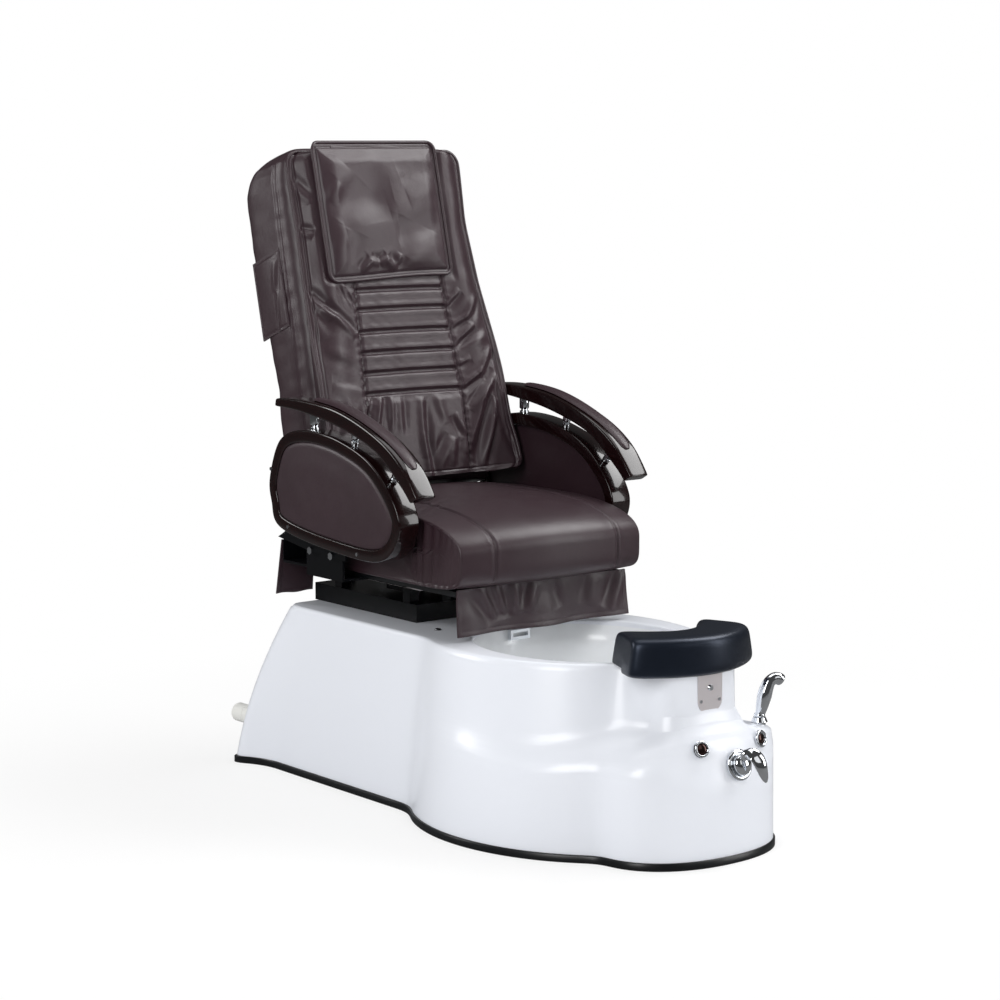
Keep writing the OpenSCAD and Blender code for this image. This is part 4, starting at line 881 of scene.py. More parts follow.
# %% [markdown]
# ## The arms
#
# Each arm is a bent wooden bar over a round-cornered side panel: a lacquered band round a
# leather-covered board. The wood is thick and square with eased edges, and those edges are
# what catch the light, so every section gets small round corners. The bar and the band use
# the same curve points as the CAD model.

# %% Curves of the arms
CUSHION_Z, ARM_IN, ARM_W = 0.4986, 0.270, 0.055
ARM_MID = ARM_IN + ARM_W / 2
panel_curve = spline(np.array([
    (440, 142), (444, 201), (400, 286), (304, 314), (164, 301), (36, 251), (-49, 146), (10, 58),
    (182, 53), (400, 83),
]) / 1000, 14, True)
bar_top, bar_low = (spline(np.array(row) / 1000, 14) for row in (
    [(417, 376), (325, 380), (177, 367), (35, 323), (-54, 272), (-111, 205)],
    [(421, 358), (326, 353), (178, 331), (36, 288), (-53, 223), (-87, 192)],
))


def rounded_box(x0, x1, d0, d1, r, n=5):
    """Round-cornered rectangle as pairs of place across and inset from the outline."""
    out = []
    x0, x1, d0, d1 = x0 + r, x1 - r, d0 + r, d1 - r
    for cx, cd, start in ((x1, d0, -90), (x1, d1, 0), (x0, d1, 90), (x0, d0, 180)):
        for a in np.radians(np.linspace(start, start + 90, n)):
            out.append((cx + r * math.cos(a), cd + r * math.sin(a)))
    return out


def arm_ring(x, d):
    curve = inset(panel_curve, d)
    return columns(ARM_IN + x, curve[:, 0], curve[:, 1] + CUSHION_Z)


print("arm curves", len(panel_curve), len(bar_top))

# %% Side panels
BAND_T, BAND_R = 0.027, 0.0035
INLAY_FACE, INLAY_PUFF, INLAY_EDGE, INLAY_ROLL = 0.0505, 0.0038, 0.0273, 0.011
band = [arm_ring(x, d) for x, d in rounded_box(0, ARM_W, 0, BAND_T, BAND_R)]
points, faces = both_sides(*rings_mesh(band, True))
add_piece("panel_bands", points, faces, "lacquer", "seat", ["side_panels"], 70)
board = []
for t in np.linspace(0, 1, 7):
    a = math.pi / 2 * t
    d = INLAY_EDGE + INLAY_ROLL * (1 - math.cos(a))
    board.append(arm_ring(INLAY_FACE + INLAY_PUFF * math.sin(a), d))
rolled, centre = board[-1], np.mean(board[-1], 0)
for t in (0.08, 0.18, 0.3, 0.45, 0.6, 0.8):
    board.append(mix(rolled, centre, t) + [0.0018 * smooth(t * 2), 0, 0])
inner = [mix(arm_ring(0.014, 0.0285), [ARM_IN + 0.014, *centre[1:]], t) for t in (0, 0.3, 0.6, 0.8)]
inlay = rings_mesh(board[::-1] + inner)
inlays = add_piece("panel_leather", *both_sides(*inlay), "leather", "seat", ["panel_inlays"], 50)

# %% Arm bars
bars = []
for e in end_steps(97, 1.6, 0.9996):
    at = (e + 1) / 2 * (len(bar_top) - 1)
    low_at = (e + 1) / 2 * (len(bar_low) - 1)
    top = [np.interp(at, range(len(bar_top)), bar_top[:, j]) for j in (0, 1)]
    low = [np.interp(low_at, range(len(bar_low)), bar_low[:, j]) for j in (0, 1)]
    middle, half = (np.array(top) + low) / 2, (np.array(top) - low) / 2
    k = round_off(e, 26)
    across, up = oval(turn, 0.24)
    across, up = across * (0.4 + 0.6 * k), up * k
    crown = 1 + 0.10 * np.where(up > 0, 1 - across ** 2, 0)
    flat = middle + (up * crown)[:, None] * half
    bars.append(columns(ARM_MID + across * ARM_W / 2, flat[:, 0], flat[:, 1] + CUSHION_Z))
add_piece("arm_rails", *both_sides(*rings_mesh(bars)), "lacquer", "seat", ["arm_bars"], 60)

# %% Leather pads on the arms
pad_rows = np.linspace(-1, 1, 60) * 0.999
pad_cols = np.linspace(-1, 1, 17)
top_of_bar = bar_top[::-1]
REAR_PAD, FRONT_PAD, STRIP_HALF, STRIP_PUFF, OVER_BAR = 0.292, -0.068, 0.0186, 0.0055, 0.0022
grid = []
for layer in (1, 0):
    for f in pad_rows:
        y = mix(FRONT_PAD, REAR_PAD, (f + 1) / 2)
        z = np.interp(y, top_of_bar[:, 0], top_of_bar[:, 1])
        slope = (np.interp(y + 0.003, top_of_bar[:, 0], top_of_bar[:, 1]) - z) / 0.003
        width = STRIP_HALF * round_off(f, 6) * (0.86 + 0.14 * smooth((f + 1) / 1.2))
        lift = 0.0008 + layer * STRIP_PUFF * round_off(f, 7) * (1 - np.abs(pad_cols) ** 3)
        n = np.array([-slope, 1]) / math.hypot(slope, 1)
        high = CUSHION_Z + z + n[1] * lift + OVER_BAR
        grid.append(columns(ARM_MID + pad_cols * width, y + n[0] * lift, high))
grid = np.array(grid).reshape(2, len(pad_rows), len(pad_cols), 3)
points, faces = both_sides(*slab_mesh(*grid))
pads = add_piece("arm_leathers", points, faces, "leather", "seat", ["arm_pads"], 50)


# %% Turned posts of the arms
post_profile = [
    (0.0, 0.0085), (0.02, 0.0104), (0.14, 0.0108), (0.19, 0.0104), (0.21, 0.0078), (0.27, 0.0074),
    (0.30, 0.0100), (0.34, 0.0112), (0.37, 0.0114), (0.88, 0.0114), (0.95, 0.0110), (1.0, 0.009),
]
post_ends = [((301, 310), (301, 356)), ((147, 296), (140, 331)), ((6, 228), (-18, 258))]
turnings = []
for (y0, z0), (y1, z1) in post_ends:
    shrink = 1.0 if y0 > 250 else 0.85
    ends = [(ARM_MID, y / 1000, z / 1000 + CUSHION_Z) for y, z in ((y0, z0), (y1, z1))]
    turnings.append(turning(*ends, [(t, r * shrink) for t, r in post_profile]))
add_piece("post_turnings", *both_sides(*joined(*turnings)), "chrome", "seat", ["arm_posts"], 35)
print("arms done")

# %% [markdown]
# ## The seat cushion
#
# The seat is foam under a sewn cover: a box cushion whose front bulges forward, rounder at
# the top than at the bottom. Two seams run over the top and down the front. At the front
# corners an arched seam joins the cover to gathered side panels. The form is a row of
# superellipse sections, and every seam, gather and crease is a height added along the
# surface's own normals, so they follow the form wherever it bends.


# %% Seams and creases as heights
def groove(distance, width, depth):
    """A sewn line: a narrow valley with a soft swell on each side."""
    d = distance / width
    return depth * (-np.exp(-d * d) + 0.35 * np.exp(-((np.abs(d) - 2.2) ** 2)))


def crease(flat, fold):
    """A valley with a ridge beside it. A fold is two ends, width and depth, in 0.1 mm."""
    *ends, width, depth = np.array(fold) / 10000
    start, end = np.reshape(ends, (2, 2))
    run = end - start
    length = np.linalg.norm(run)
    t = (flat - start) @ run / length ** 2
    d = (flat - start) @ np.array([-run[1], run[0]]) / length / width
    taper = np.clip(t, 0, 1) * np.clip(1 - t, 0, 1) * 4
    return depth * taper ** 0.7 * (np.exp(-((d - 0.9) ** 2)) - np.exp(-((d + 0.5) ** 2)))


def creases(one, two, rows):
    """The sum of the folds in the plane of two coordinates."""
    flat = columns(one, two).reshape(-1, 2)
    return sum(crease(flat, fold) for fold in rows).reshape(one.shape)


SEAT_HALF, SEAT_FRONT, SEAT_REAR, SEAT_T, SEAT_SEAM = 0.254, -0.166, 0.375, 0.152, 0.170
GATHER = 0.024


def seat_relief(p, n):
    x, y, z = np.abs(p[:, 0]), p[:, 1], p[:, 2]
    # the two long seams
    face = smooth((n[:, 2] + 0.75) / 0.4) * smooth((0.244 - x) / 0.006)
    total = face * groove(x - SEAT_SEAM, 0.0030, 0.0024)
    # gathered side panels, and the swell of the cover where it meets them
    side = smooth((np.abs(n[:, 0]) - 0.75) / 0.15)
    fan = y + 0.16 * (z - 0.53) * smooth((0.02 - y) / 0.2)
    gathers = np.sin(fan * 2 * math.pi / GATHER + 1.3 * np.sin(fan * 60))
    gathers *= 0.6 + 0.4 * np.sin(fan * 23 + 1)
    rim = bell(x - 0.2488, 0.0022) * smooth((0.8 - np.abs(n[:, 0])) / 0.3)
    total += rim * 0.0012 - side * (0.0035 + 0.0022 * bell(y + 0.06, 0.10))
    total += side * gathers * 0.0040 * smooth((0.10 - y) / 0.12)
    # creases of the top, and slow waves
    top = smooth((n[:, 2] - 0.5) / 0.3)
    total += top * creases(p[:, 0], y, [
        (-2350, 200, -1000, 750, 70, 26), (-2400, -200, -1300, 300, 60, 20),
        (2300, 300, 900, 900, 70, 22), (-2000, 1000, -300, 1200, 90, 22),
        (200, 900, 1600, 1200, 80, 20), (-2450, 700, -1700, 1000, 60, 20),
    ])
    face = smooth((n[:, 2] + 0.4) / 0.3) * smooth((0.25 - x) / 0.01)
    return total + 0.0007 * ripple(p, 0.13, 3) * face


# %% Seat cushion
EDGE_R = 0.010
near_seam = [0.160, 0.164, 0.167, 0.1685, 0.170, 0.1715, 0.173, 0.176, 0.182]
far = np.linspace(0.19, SEAT_HALF - EDGE_R, 9)
stops = [(x, 0.0) for x in (*np.linspace(0, 0.155, 22), *near_seam, *far)]
for a in np.linspace(0, math.pi / 2, 7)[1:]:
    stops.append((SEAT_HALF - EDGE_R + EDGE_R * math.sin(a), EDGE_R * (1 - math.cos(a))))
for d in (0.003, 0.007, 0.012, 0.018, 0.025, 0.033, 0.042, 0.052, 0.062, 0.070, 0.0745):
    stops.append((SEAT_HALF, EDGE_R + d))
round_turn = circle(260)
front_top = (np.cos(round_turn) < 0) & (np.sin(round_turn) > 0)
front_low = (np.cos(round_turn) < 0) & (np.sin(round_turn) <= 0)
power = np.where(front_top, 0.84, np.where(front_low, 0.34, 0.36))
cos_t, sin_t = oval(round_turn, power)


def seat_ring(x, d):
    e = x / SEAT_HALF
    front = SEAT_FRONT - 0.034 * (1 - e * e) + d
    rear = SEAT_REAR - d
    low, high = CUSHION_Z + d, CUSHION_Z + SEAT_T + 0.018 * (1 - e * e) - d
    y = (rear + front) / 2 + (rear - front) / 2 * cos_t
    return columns(x, y, (low + high) / 2 + (high - low) / 2 * sin_t)


half_rings = [seat_ring(x, d) for x, d in stops]
rings = [r * [-1, 1, 1] for r in half_rings[:0:-1]] + half_rings
count = len(round_turn)
points, faces = np.concatenate(rings), ring_faces(len(rings), count)
for start in (0, (len(rings) - 1) * count):
    for i in range(count // 2):
        corners = (i, i + 1, count - i - 1, (count - i) % count)
        faces.append(tuple(start + c for c in dict.fromkeys(corners)))
flat_side = np.abs(points[:, 0]) > SEAT_HALF - 1e-5
sideways = np.sign(points[:, :1]) * [1, 0, 0]
on_side = points + sideways * seat_relief(points, sideways)[:, None]
points = np.where(flat_side[:, None], on_side, relief(points, faces, seat_relief))
seat_piece = add_piece("seat_upholstery", points, faces, "leather", "seat", ["seat_cushion"], 60)
print("seat cushion", len(faces), "faces")

# %% [markdown]
# ## The apron and the rear tails
#
# A sheet of leather hangs from under the front of the cushion to hide the mechanism, and
# two shorter tails hang behind. Each is one sheet about 3 mm thick. They are stiff enough
# to stand off in a few broad billows, deepest where the sheet is not held, so they are
# shaped as height maps over a flat sheet instead of a cloth simulation of thin fabric.


# %% Hanging sheets
SHEET_THICK = 0.003


def hanging(name, x0, x1, z0, z1, place, hides, nu, taper=0.0):
    """A sheet between two sides and a hem, with a sewn fold along each free edge."""
    u, v = unit_grid(nu, 44)
    x = mix(x0, x1, u) + 0.004 * (1 - v) * (2 * u - 1) + taper * (1 - v) * u
    z = mix(z0, z1, v) + 0.0012 * np.sin(9 * u) * (1 - v)
    y = place(u, v)
    hem = np.minimum(np.minimum(u * abs(x1 - x0), (1 - u) * abs(x1 - x0)), v * (z1 - z0))
    swell = 0.0007 * bell(hem - 0.004, 0.004) - 0.0005 * bell(hem - 0.0105, 0.0016)
    front, back = columns(x, y - swell, z), columns(x, y + SHEET_THICK + swell, z)
    piece = add_piece(name, *slab_mesh(front, back), "leather", "seat", hides, 60)
    return piece


APRON_HALF, APRON_TOP, APRON_LOW = 0.236, 0.5024, 0.4016
APRON_RIGHT, APRON_FLARE = 0.233, 0.002


def apron_face(u, v):
    x, z = mix(-APRON_HALF, APRON_RIGHT, u), mix(APRON_LOW, APRON_TOP, v)
    free = (1 - v) ** 1.3
    y = -0.1365 - free * 0.004 - 0.0055 * free * np.sin(2.3 * u * math.pi * 2 + 0.6)
    folds = creases(x, z, [
        (-2000, 5050, -1350, 4250, 150, 60), (-1500, 5050, -1100, 4320, 130, 65),
        (-1000, 5050, -850, 4300, 160, 70), (-350, 5050, -600, 4400, 140, 55),
        (300, 5050, 500, 4400, 160, 30), (1300, 5050, 1100, 4350, 180, 28),
        (2150, 5050, 1700, 4200, 140, 50),
    ])
    return y - folds - 0.0008 * ripple(columns(x, 0, z), 0.07, 5)


def tail_face(u, v):
    return 0.5316 + 0.018 * (1 - v) + 0.0016 * np.sin(5 * u + 1) * (1 - v)


apron = hanging(
    "apron_sheet", -APRON_HALF, APRON_RIGHT, APRON_LOW, APRON_TOP, apron_face,
    ["front_apron"], 110, APRON_FLARE,
)
for side, x0, x1 in (("left", 0.143, 0.235), ("right", -0.235, -0.143)):
    hanging("tail_" + side, x0, x1, 0.4035, 0.5326, tail_face, ["rear_tails"], 40)
print("apron and tails done")

# %% [markdown]
# ## The backrest
#
# The backrest is a padded shell with a thick removable cover over its front. It leans, so
# it is shaped upright in its own frame, with y through its depth and z up its length, and
# one function then tips it into place. The shell is a tall stack of squared ovals whose
# depth changes with height. A seam with a row of stitches on each side runs up its flanks.


# %% Frame of the backrest
LEAN = math.radians(13.5)
BACK_HALF, BACK_LEN, BACK_DEPTH, COVER_T = 0.240, 0.783, 0.250, 0.034


def on_back(p):
    p = np.asarray(p, float)
    c, s = math.cos(LEAN), math.sin(LEAN)
    return np.stack([
        p[..., 0], 0.2865 + c * p[..., 1] + s * p[..., 2], 0.6796 - s * p[..., 1] + c * p[..., 2]
    ], -1)


def soft_lookup(z, places, values, blur=0.02):
    """Straight-line table with its corners rounded."""
    return np.mean([np.interp(z + d, places, values) for d in np.linspace(-blur, blur, 9)], 0)


def body_rear(z):
    places = [0, 0.21, 0.31, 0.48, 0.7, 0.885, 0.945, 0.98, 0.996, 1]
    depths = [-0.016, -0.015, -0.025, -0.016, 0, 0.002, -0.02, -0.062, -0.11, -0.15]
    return BACK_DEPTH + soft_lookup(z / BACK_LEN, places, depths)


def flank_seam(z):
    return soft_lookup(z, [0, 0.1, 0.4, 0.6, 0.78], [0.112, 0.110, 0.101, 0.096, 0.090], 0.05)


def shell_relief(p, n):
    x, y, z = p.T
    side = smooth((np.abs(n[:, 0]) - 0.5) / 0.3)
    total = side * groove(y - flank_seam(z), 0.0035, 0.0026)
    pinch = bell(y - flank_seam(z), 0.02)
    total += side * pinch * 0.0006 * np.sin(z * 210 + 2 * np.sin(z * 37))
    return total + 0.0011 * ripple(p, 0.17, 11) + 0.0009 * side * ripple(p, 0.06, 12)


# %% Shell of the backrest
TOP_R = 0.016
SHOULDERS = [0, 0.03, 0.9, 0.94, 0.965, 0.985, 1], [0.975, 1, 1, 0.985, 0.962, 0.92, 0.86]
back_cos, back_sin = oval(circle(240), 0.34)
levels = [(0.0, 0.014), (0.0012, 0.008), (0.004, 0.004)]
levels += [(z, 0.0) for z in np.linspace(0, 0.7, 76)[1:]]
levels += [(z, 0.0) for z in np.linspace(0.704, BACK_LEN - TOP_R, 24)]
for a in np.linspace(0.2, math.pi / 2, 8):
    levels.append((BACK_LEN - TOP_R + TOP_R * math.sin(a), TOP_R * (1 - math.cos(a))))
rings = []
for z, r in levels:
    rear = body_rear(z) - r
    front = 0.038 + r * 0.6 + 0.006 * smooth((z - 0.765) / 0.018)
    half = BACK_HALF * np.interp(z / BACK_LEN, *SHOULDERS) - r
    sag = 0.011 * back_cos ** 2 * (1 - smooth(z / 0.06))
    y = (front + rear) / 2 + (rear - front) / 2 * back_sin
    rings.append(columns(half * back_cos, y, z - sag))
points, faces = rings_mesh(rings)
points = on_back(relief(points, faces, shell_relief))
shell_piece = add_piece("back_shell", points, faces, "leather", "back", ["back_body"], 60)
print("back shell", len(faces), "faces")

# %% [markdown]
# ## The cover of the backrest
#
# The cover is a quilt about 34 mm thick, edged with a piped cord. Six channels are sewn
# across its middle between two seams, with smooth puffed sides outside them. Sewn leather
# gathers along its seams, so folds run out from the ends of the channels like a fan, and
# loose folds hang below the last channel. The surface is a grid from edge to edge, and one
# height function adds puffs, channels, seams and each fold in turn.

# %% Outline of the cover
CHANNELS = (0.203, 0.250, 0.297, 0.345, 0.396, 0.441)
COVER_TOP, COVER_LOW, CORNER, LOW_CORNER = 0.769, 0.006, 0.034, 0.026
COVER_HALF, QUILT_LOW, QUILT_TOP, UNDER_FLAP = 0.245, 0.196, 0.50, 0.45
edge_z = [0, 0.06, 0.12, 0.24, 0.30, 0.45, 0.60, 0.72, 0.77]
edge_x = [0.2655, 0.2655, 0.261, 0.2585, 0.2565, 0.2450, 0.2375, 0.2425, 0.2425]
edge_y = [-0.022, -0.017, -0.008, -0.004, 0.003, 0.021, 0.029, 0.027, 0.027]


def cover_edge(z):
    """Half width of the cover, and how far back its edge lies."""
    drop = np.clip((z - (COVER_TOP - CORNER)) / CORNER, 0, 1)
    low = np.clip((COVER_LOW + LOW_CORNER - z) / LOW_CORNER, 0, 1)
    half = soft_lookup(z, edge_z, edge_x) - CORNER * (1 - np.sqrt(1 - drop ** 2))
    half -= LOW_CORNER * (1 - np.sqrt(1 - low ** 2))
    return half, soft_lookup(z, edge_z, edge_y)


def seam_x(z):
    return np.interp(z, [0.0, 0.18, 0.30, 0.44, 0.6], [0.128, 0.137, 0.131, 0.124, 0.121])


FOLDS = [
    (-2450, 4520, -1960, 3800, 110, -70), (-2150, 4100, -1370, 3410, 100, -65),
    (-2560, 4450, -2150, 3350, 160, -45), (-1600, 4500, -1330, 4000, 50, -30),
    (-1750, 4620, -1370, 4160, 80, 36), (-2450, 5880, -2320, 5930, 80, 30),
    (-2400, 5920, -2070, 5760, 90, -50), (-2520, 7250, -2000, 6500, 100, -40),
    (-2360, 3000, -1390, 2620, 140, 25), (-2280, 2300, -1410, 2150, 130, -22),
    (1250, 3920, 1720, 4280, 80, 40), (1280, 3410, 1900, 3680, 80, 46),
    (1800, 3560, 2240, 4180, 100, 42), (1310, 2980, 2000, 3440, 90, 56),
    (1380, 2940, 2300, 3320, 120, -36), (1380, 1990, 2060, 2360, 90, 62),
    (1960, 2260, 2470, 2920, 100, 55), (1500, 1520, 2400, 2360, 100, -62),
    (1360, 400, 2180, 2050, 120, 70), (1530, 120, 2260, 1780, 100, -60),
    (2360, 2250, 2440, 850, 90, 55), (2410, 1000, 2620, 220, 80, 50),
    (1710, 140, 2210, 1300, 90, 50), (1300, 2500, 1750, 2680, 70, 34),
    (-1380, 1500, -1230, 1990, 70, 30), (-1120, 1200, -900, 1990, 80, 42),
    (-840, 1100, -730, 1990, 80, -34), (-460, 1050, -370, 1960, 100, 32),
    (120, 450, 240, 1900, 110, 52), (240, -40, 130, 1100, 100, 45),
    (300, 200, 820, 960, 140, -50), (1260, 900, 1000, 1450, 90, -40),
    (700, 1200, 520, 1960, 120, -26), (-2000, 200, -1500, 1800, 140, 40),
    (-2360, 600, -1900, 2000, 140, -35), (860, 200, 1030, 900, 100, 34),
]
print(len(FOLDS), "folds")


# %% Height of the cover
def cover_height(x, z, span):
    """How far the face stands out, for places on the flat and their share of the half width."""
    edge = np.clip(1 - np.abs(span), 0, 1) * COVER_HALF
    seam = np.abs(np.abs(x) - seam_x(z))
    middle = smooth((seam_x(z) - np.abs(x)) / 0.004)
    # channels, each a flat-bottomed valley between two lips
    quilted = middle * smooth((z - QUILT_LOW) / 0.004) * smooth((QUILT_TOP - z) / 0.02)
    channel = sum(bell(z - c - 0.0015 * np.cos(x * 12), 0.0052, 4) for c in CHANNELS)
    lip = sum(bell(np.abs(z - c) - 0.012, 0.006) for c in CHANNELS)
    total = quilted * (-0.0062 * channel + 0.0014 * lip)
    # puffed sides, flatter under the pillow, and the loose middle below the channels
    flap = 1 - 0.5 * smooth((z - UNDER_FLAP) / 0.05)
    puff = (1 - middle) * smooth((0.06 - np.abs(edge - 0.055)) / 0.06)
    total += puff * (0.0065 * flap + 0.0006)
    total += middle * 0.0035 * smooth((QUILT_LOW - z) / 0.02) * smooth(z / 0.05)
    # the two upright seams, each a pair of lines, and the line beside the piping
    pair = np.minimum(seam, np.abs(seam - 0.0072))
    total -= (0.0032 * bell(seam, 0.0045) + 0.0008 * bell(pair, 0.0012)) * flap
    total -= 0.0034 * bell(edge - 0.0125, 0.0030)
    # folds and small gathers, which the quilted middle keeps flat
    calm = 1 - middle * smooth((z - 0.19) / 0.01)
    fan = np.sin(z * 330 + 9 * np.abs(x)) * bell(seam, 0.012) * (1 - middle)
    total += (creases(x, z, FOLDS) + 0.0008 * fan * flap) * calm * smooth(edge / 0.018)
    total -= 0.0016 * bell(z - COVER_LOW - 0.010, 0.0022)
    # slow waves, pressed flat where the pillow covers them
    waves = columns(x, 0, z)
    total += 0.0012 * ripple(waves, 0.10, 21) * (0.35 + 0.65 * flap)
    total += 0.0003 * ripple(waves, 0.022, 22) * middle
    covered = smooth((z - UNDER_FLAP) / 0.025)
    covered = covered * smooth((x + 0.207) / 0.014) * smooth((0.172 - x) / 0.014)
    return mix(total, np.minimum(total, -0.0005), covered)


def cover_front(x, z, span):
    """Local y of the face: it falls back towards its edge, and less where it is wide."""
    _, back = cover_edge(z)
    fall = smooth((np.abs(span) - 0.74) / 0.26) ** 1.3
    return mix(-0.001, back, fall) - 0.010 * smooth((0.05 - z) / 0.08) * smooth(np.abs(x) / 0.25)


# %% Cover
nu, nv = 300, 400
span = np.sin(np.linspace(-1, 1, nu + 1) * math.pi / 2 * 0.93) / math.sin(math.pi / 2 * 0.93)
span = mix(np.linspace(-1, 1, nu + 1), span, 0.5)
rows = mix(COVER_LOW, COVER_TOP, np.linspace(0, 1, nv + 1))
arc = 1 - np.sin(np.linspace(0.3, 1.5, 12))
rows = np.unique(np.concatenate([rows, COVER_TOP - CORNER * arc, COVER_LOW + LOW_CORNER * arc]))
span_grid, z_grid = np.meshgrid(span, rows)
half_grid, _ = cover_edge(z_grid)
x_grid = span_grid * half_grid
y_grid = cover_front(x_grid, z_grid, span_grid)
out = cover_height(x_grid, z_grid, span_grid)
up_slope = np.gradient(y_grid, axis=0) / np.gradient(z_grid, axis=0)
side_slope = np.gradient(y_grid, axis=1) / np.gradient(x_grid, axis=1)
lean = columns(side_slope, -1, up_slope)
lean /= np.linalg.norm(lean, axis=-1)[..., None]
face_grid = columns(x_grid, y_grid, z_grid) + lean * out[..., None]
face_grid[..., 1] += 0.008 * smooth((z_grid - (COVER_TOP - 0.010)) / 0.010)
rear_y = np.where(z_grid < 0.05, mix(0.012, COVER_T, smooth(z_grid / 0.05)), COVER_T)
rear_y = np.maximum(rear_y, face_grid[..., 1] + 0.003)
rear_z = np.clip(z_grid, COVER_LOW + 0.004, COVER_TOP - 0.006)
points, faces = slab_mesh(face_grid, columns(x_grid * 0.955, rear_y, rear_z))
cover = add_piece("back_cover", on_back(points), faces, "leather", "back", ["massage_cover"], 55)
print("cover", len(faces), "faces")

# %% Piping of the cover
CORD_R, CORD_BACK = 0.0042, 0.0015
edge_rows = np.concatenate([
    COVER_LOW + LOW_CORNER * (1 - np.sin(np.linspace(1.45, 0.1, 12))),
    np.linspace(COVER_LOW + LOW_CORNER, COVER_TOP - CORNER, 90)[1:],
    COVER_TOP - CORNER * (1 - np.sin(np.linspace(0.1, math.pi / 2, 14))),
])
half, back = cover_edge(edge_rows)
cord = columns(half, back + CORD_BACK, edge_rows)
across = columns(np.linspace(half[-1], -half[-1], 40)[1:-1], back[-1] + CORD_BACK, COVER_TOP)
points, faces = tube_mesh(np.concatenate([cord, across, cord[::-1] * [-1, 1, 1]]), CORD_R)
add_piece("cover_piping", on_back(points), faces, "leather", "back", [], 60)
print("piping steps", 2 * len(cord) + len(across))

# %% [markdown]
# ## The head pillow and the side pocket
#
# The pillow is a flat padded flap, hung over the top of the backrest and piped all round.
# It is soft, so it has broad dents where heads have rested, and a puckered crease near the
# middle of its lower edge. The pocket is one more panel of leather sewn to the left flank.


# %% Head pillow
PILLOW_X, PILLOW_HALF, PILLOW_LOW, FLAP_BEND = -0.018, 0.172, 0.468, 0.014
straight = BACK_LEN - 0.0107 - PILLOW_LOW
bend = FLAP_BEND * math.pi / 2
flap_run = straight + 0.010


def flap_place(x, s, lift):
    """A place on the flap: s runs up the face, round the top, then back."""
    top = PILLOW_LOW + straight
    a = np.clip((s - straight) / FLAP_BEND, 0, math.pi / 2)
    r = FLAP_BEND + lift
    beyond = np.maximum(s - straight - bend, 0)
    y = np.where(s < straight, -0.0004 - lift, FLAP_BEND - 0.0004 - r * np.cos(a) + beyond)
    z = np.where(s < straight, PILLOW_LOW + s, top + r * np.sin(a))
    return columns(x, y, z)


def pillow_lift(x, s, edge):
    body = 0.013 * smooth(edge / 0.05) ** 0.7 * (1 - 0.6 * smooth((s - straight + 0.04) / 0.05))
    dents = creases(x - PILLOW_X, s, [
        (-1500, 1500, -700, 2400, 340, 40), (-1580, 1900, -1200, 2250, 160, -30),
        (-1200, 1350, 300, 1500, 400, -40), (200, 1100, 1500, 1350, 340, 45),
        (600, 2000, 1500, 2250, 340, -30), (-200, 2700, 0, 1300, 400, 30),
        (-900, 200, -600, 470, 90, -42), (-600, 470, -340, 340, 90, -34),
        (-360, 340, -120, 480, 90, -38), (-140, 480, 140, 120, 100, -46),
        (120, 120, 340, 450, 100, 30), (-1400, 160, -950, 1100, 260, 34),
        (400, 200, 850, 1200, 400, -36),
    ])
    waves = columns(x, 0, s)
    rolls = 0.0013 * ripple(waves, 0.15, 31) + 0.0003 * ripple(waves, 0.05, 33)
    line = -0.0028 * bell(edge - 0.0105, 0.0028)
    return 0.003 + body + (dents + rolls) * smooth(edge / 0.03) + line


across, along = unit_grid(191, 181, -1)
r = 0.020
s_grid = along * flap_run
short = np.clip((r - np.minimum(s_grid, flap_run - s_grid)) / r, 0, 1)
half = PILLOW_HALF - r * (1 - np.sqrt(1 - short ** 2))
x_grid = PILLOW_X + across * half
edge = np.minimum((1 - np.abs(across)) * half, np.minimum(s_grid, flap_run - s_grid)) + 0.0005


def tilted(x, s):
    """The lower edge hangs a little askew."""
    return s + 0.005 * np.sin((x - PILLOW_X) / PILLOW_HALF * 1.9 + 0.4) * (1 - s / flap_run)


tilted_grid = tilted(x_grid, s_grid)
front = flap_place(x_grid, tilted_grid, pillow_lift(x_grid, s_grid, edge))
back = flap_place(x_grid, tilted_grid, 0.0005)
points, faces = slab_mesh(front, back)
pillow = add_piece(
    "head_pillow_flap", on_back(points), faces, "leather", "back", ["head_pillow"], 60
)
turns = np.linspace(0, math.pi / 2, 9)
quarter = [(PILLOW_HALF - r + r * math.sin(a), r - r * math.cos(a)) for a in turns]
lower = [(x, 0.0) for x in np.linspace(0, PILLOW_HALF - r, 20)[:-1]] + quarter
side = [(PILLOW_HALF, s) for s in np.linspace(r, flap_run - r, 70)[1:-1]]
right = np.array(lower + side + [(x, flap_run - s) for x, s in lower[::-1]])
rim = np.concatenate([right, right[-2:0:-1] * [-1, 1]])
rim_x = PILLOW_X + rim[:, 0]
PIPING_LIFT, PIPING_R = 0.0046, 0.0040
rim_path = flap_place(rim_x, tilted(rim_x, rim[:, 1]), PIPING_LIFT)
points, faces = tube_mesh(rim_path, PIPING_R, True)
add_piece("pillow_piping", on_back(points), faces, "leather", "back", [], 60)

# %% Strap of the pillow
STRAP_HALF, STRAP_UNDER, STRAP_TAIL = 0.118, 0.012, 0.075
across, along = unit_grid(41, 61, -1)
s_grid = mix(straight - STRAP_UNDER, straight + bend + STRAP_TAIL, along)
lift = 0.0022 + 0.0008 * np.sin(across * 5 + along * 3)
strap_x = PILLOW_X + across * STRAP_HALF
points, faces = slab_mesh(flap_place(strap_x, s_grid, lift), flap_place(strap_x, s_grid, 0.0002))
strap = add_piece("pillow_strap", on_back(points), faces, "leather", "back", [], 60)
print("pillow", len(rim), "piping steps")

# %% Side pocket
POCKET_DEEP, POCKET_TALL = 0.115, 0.18


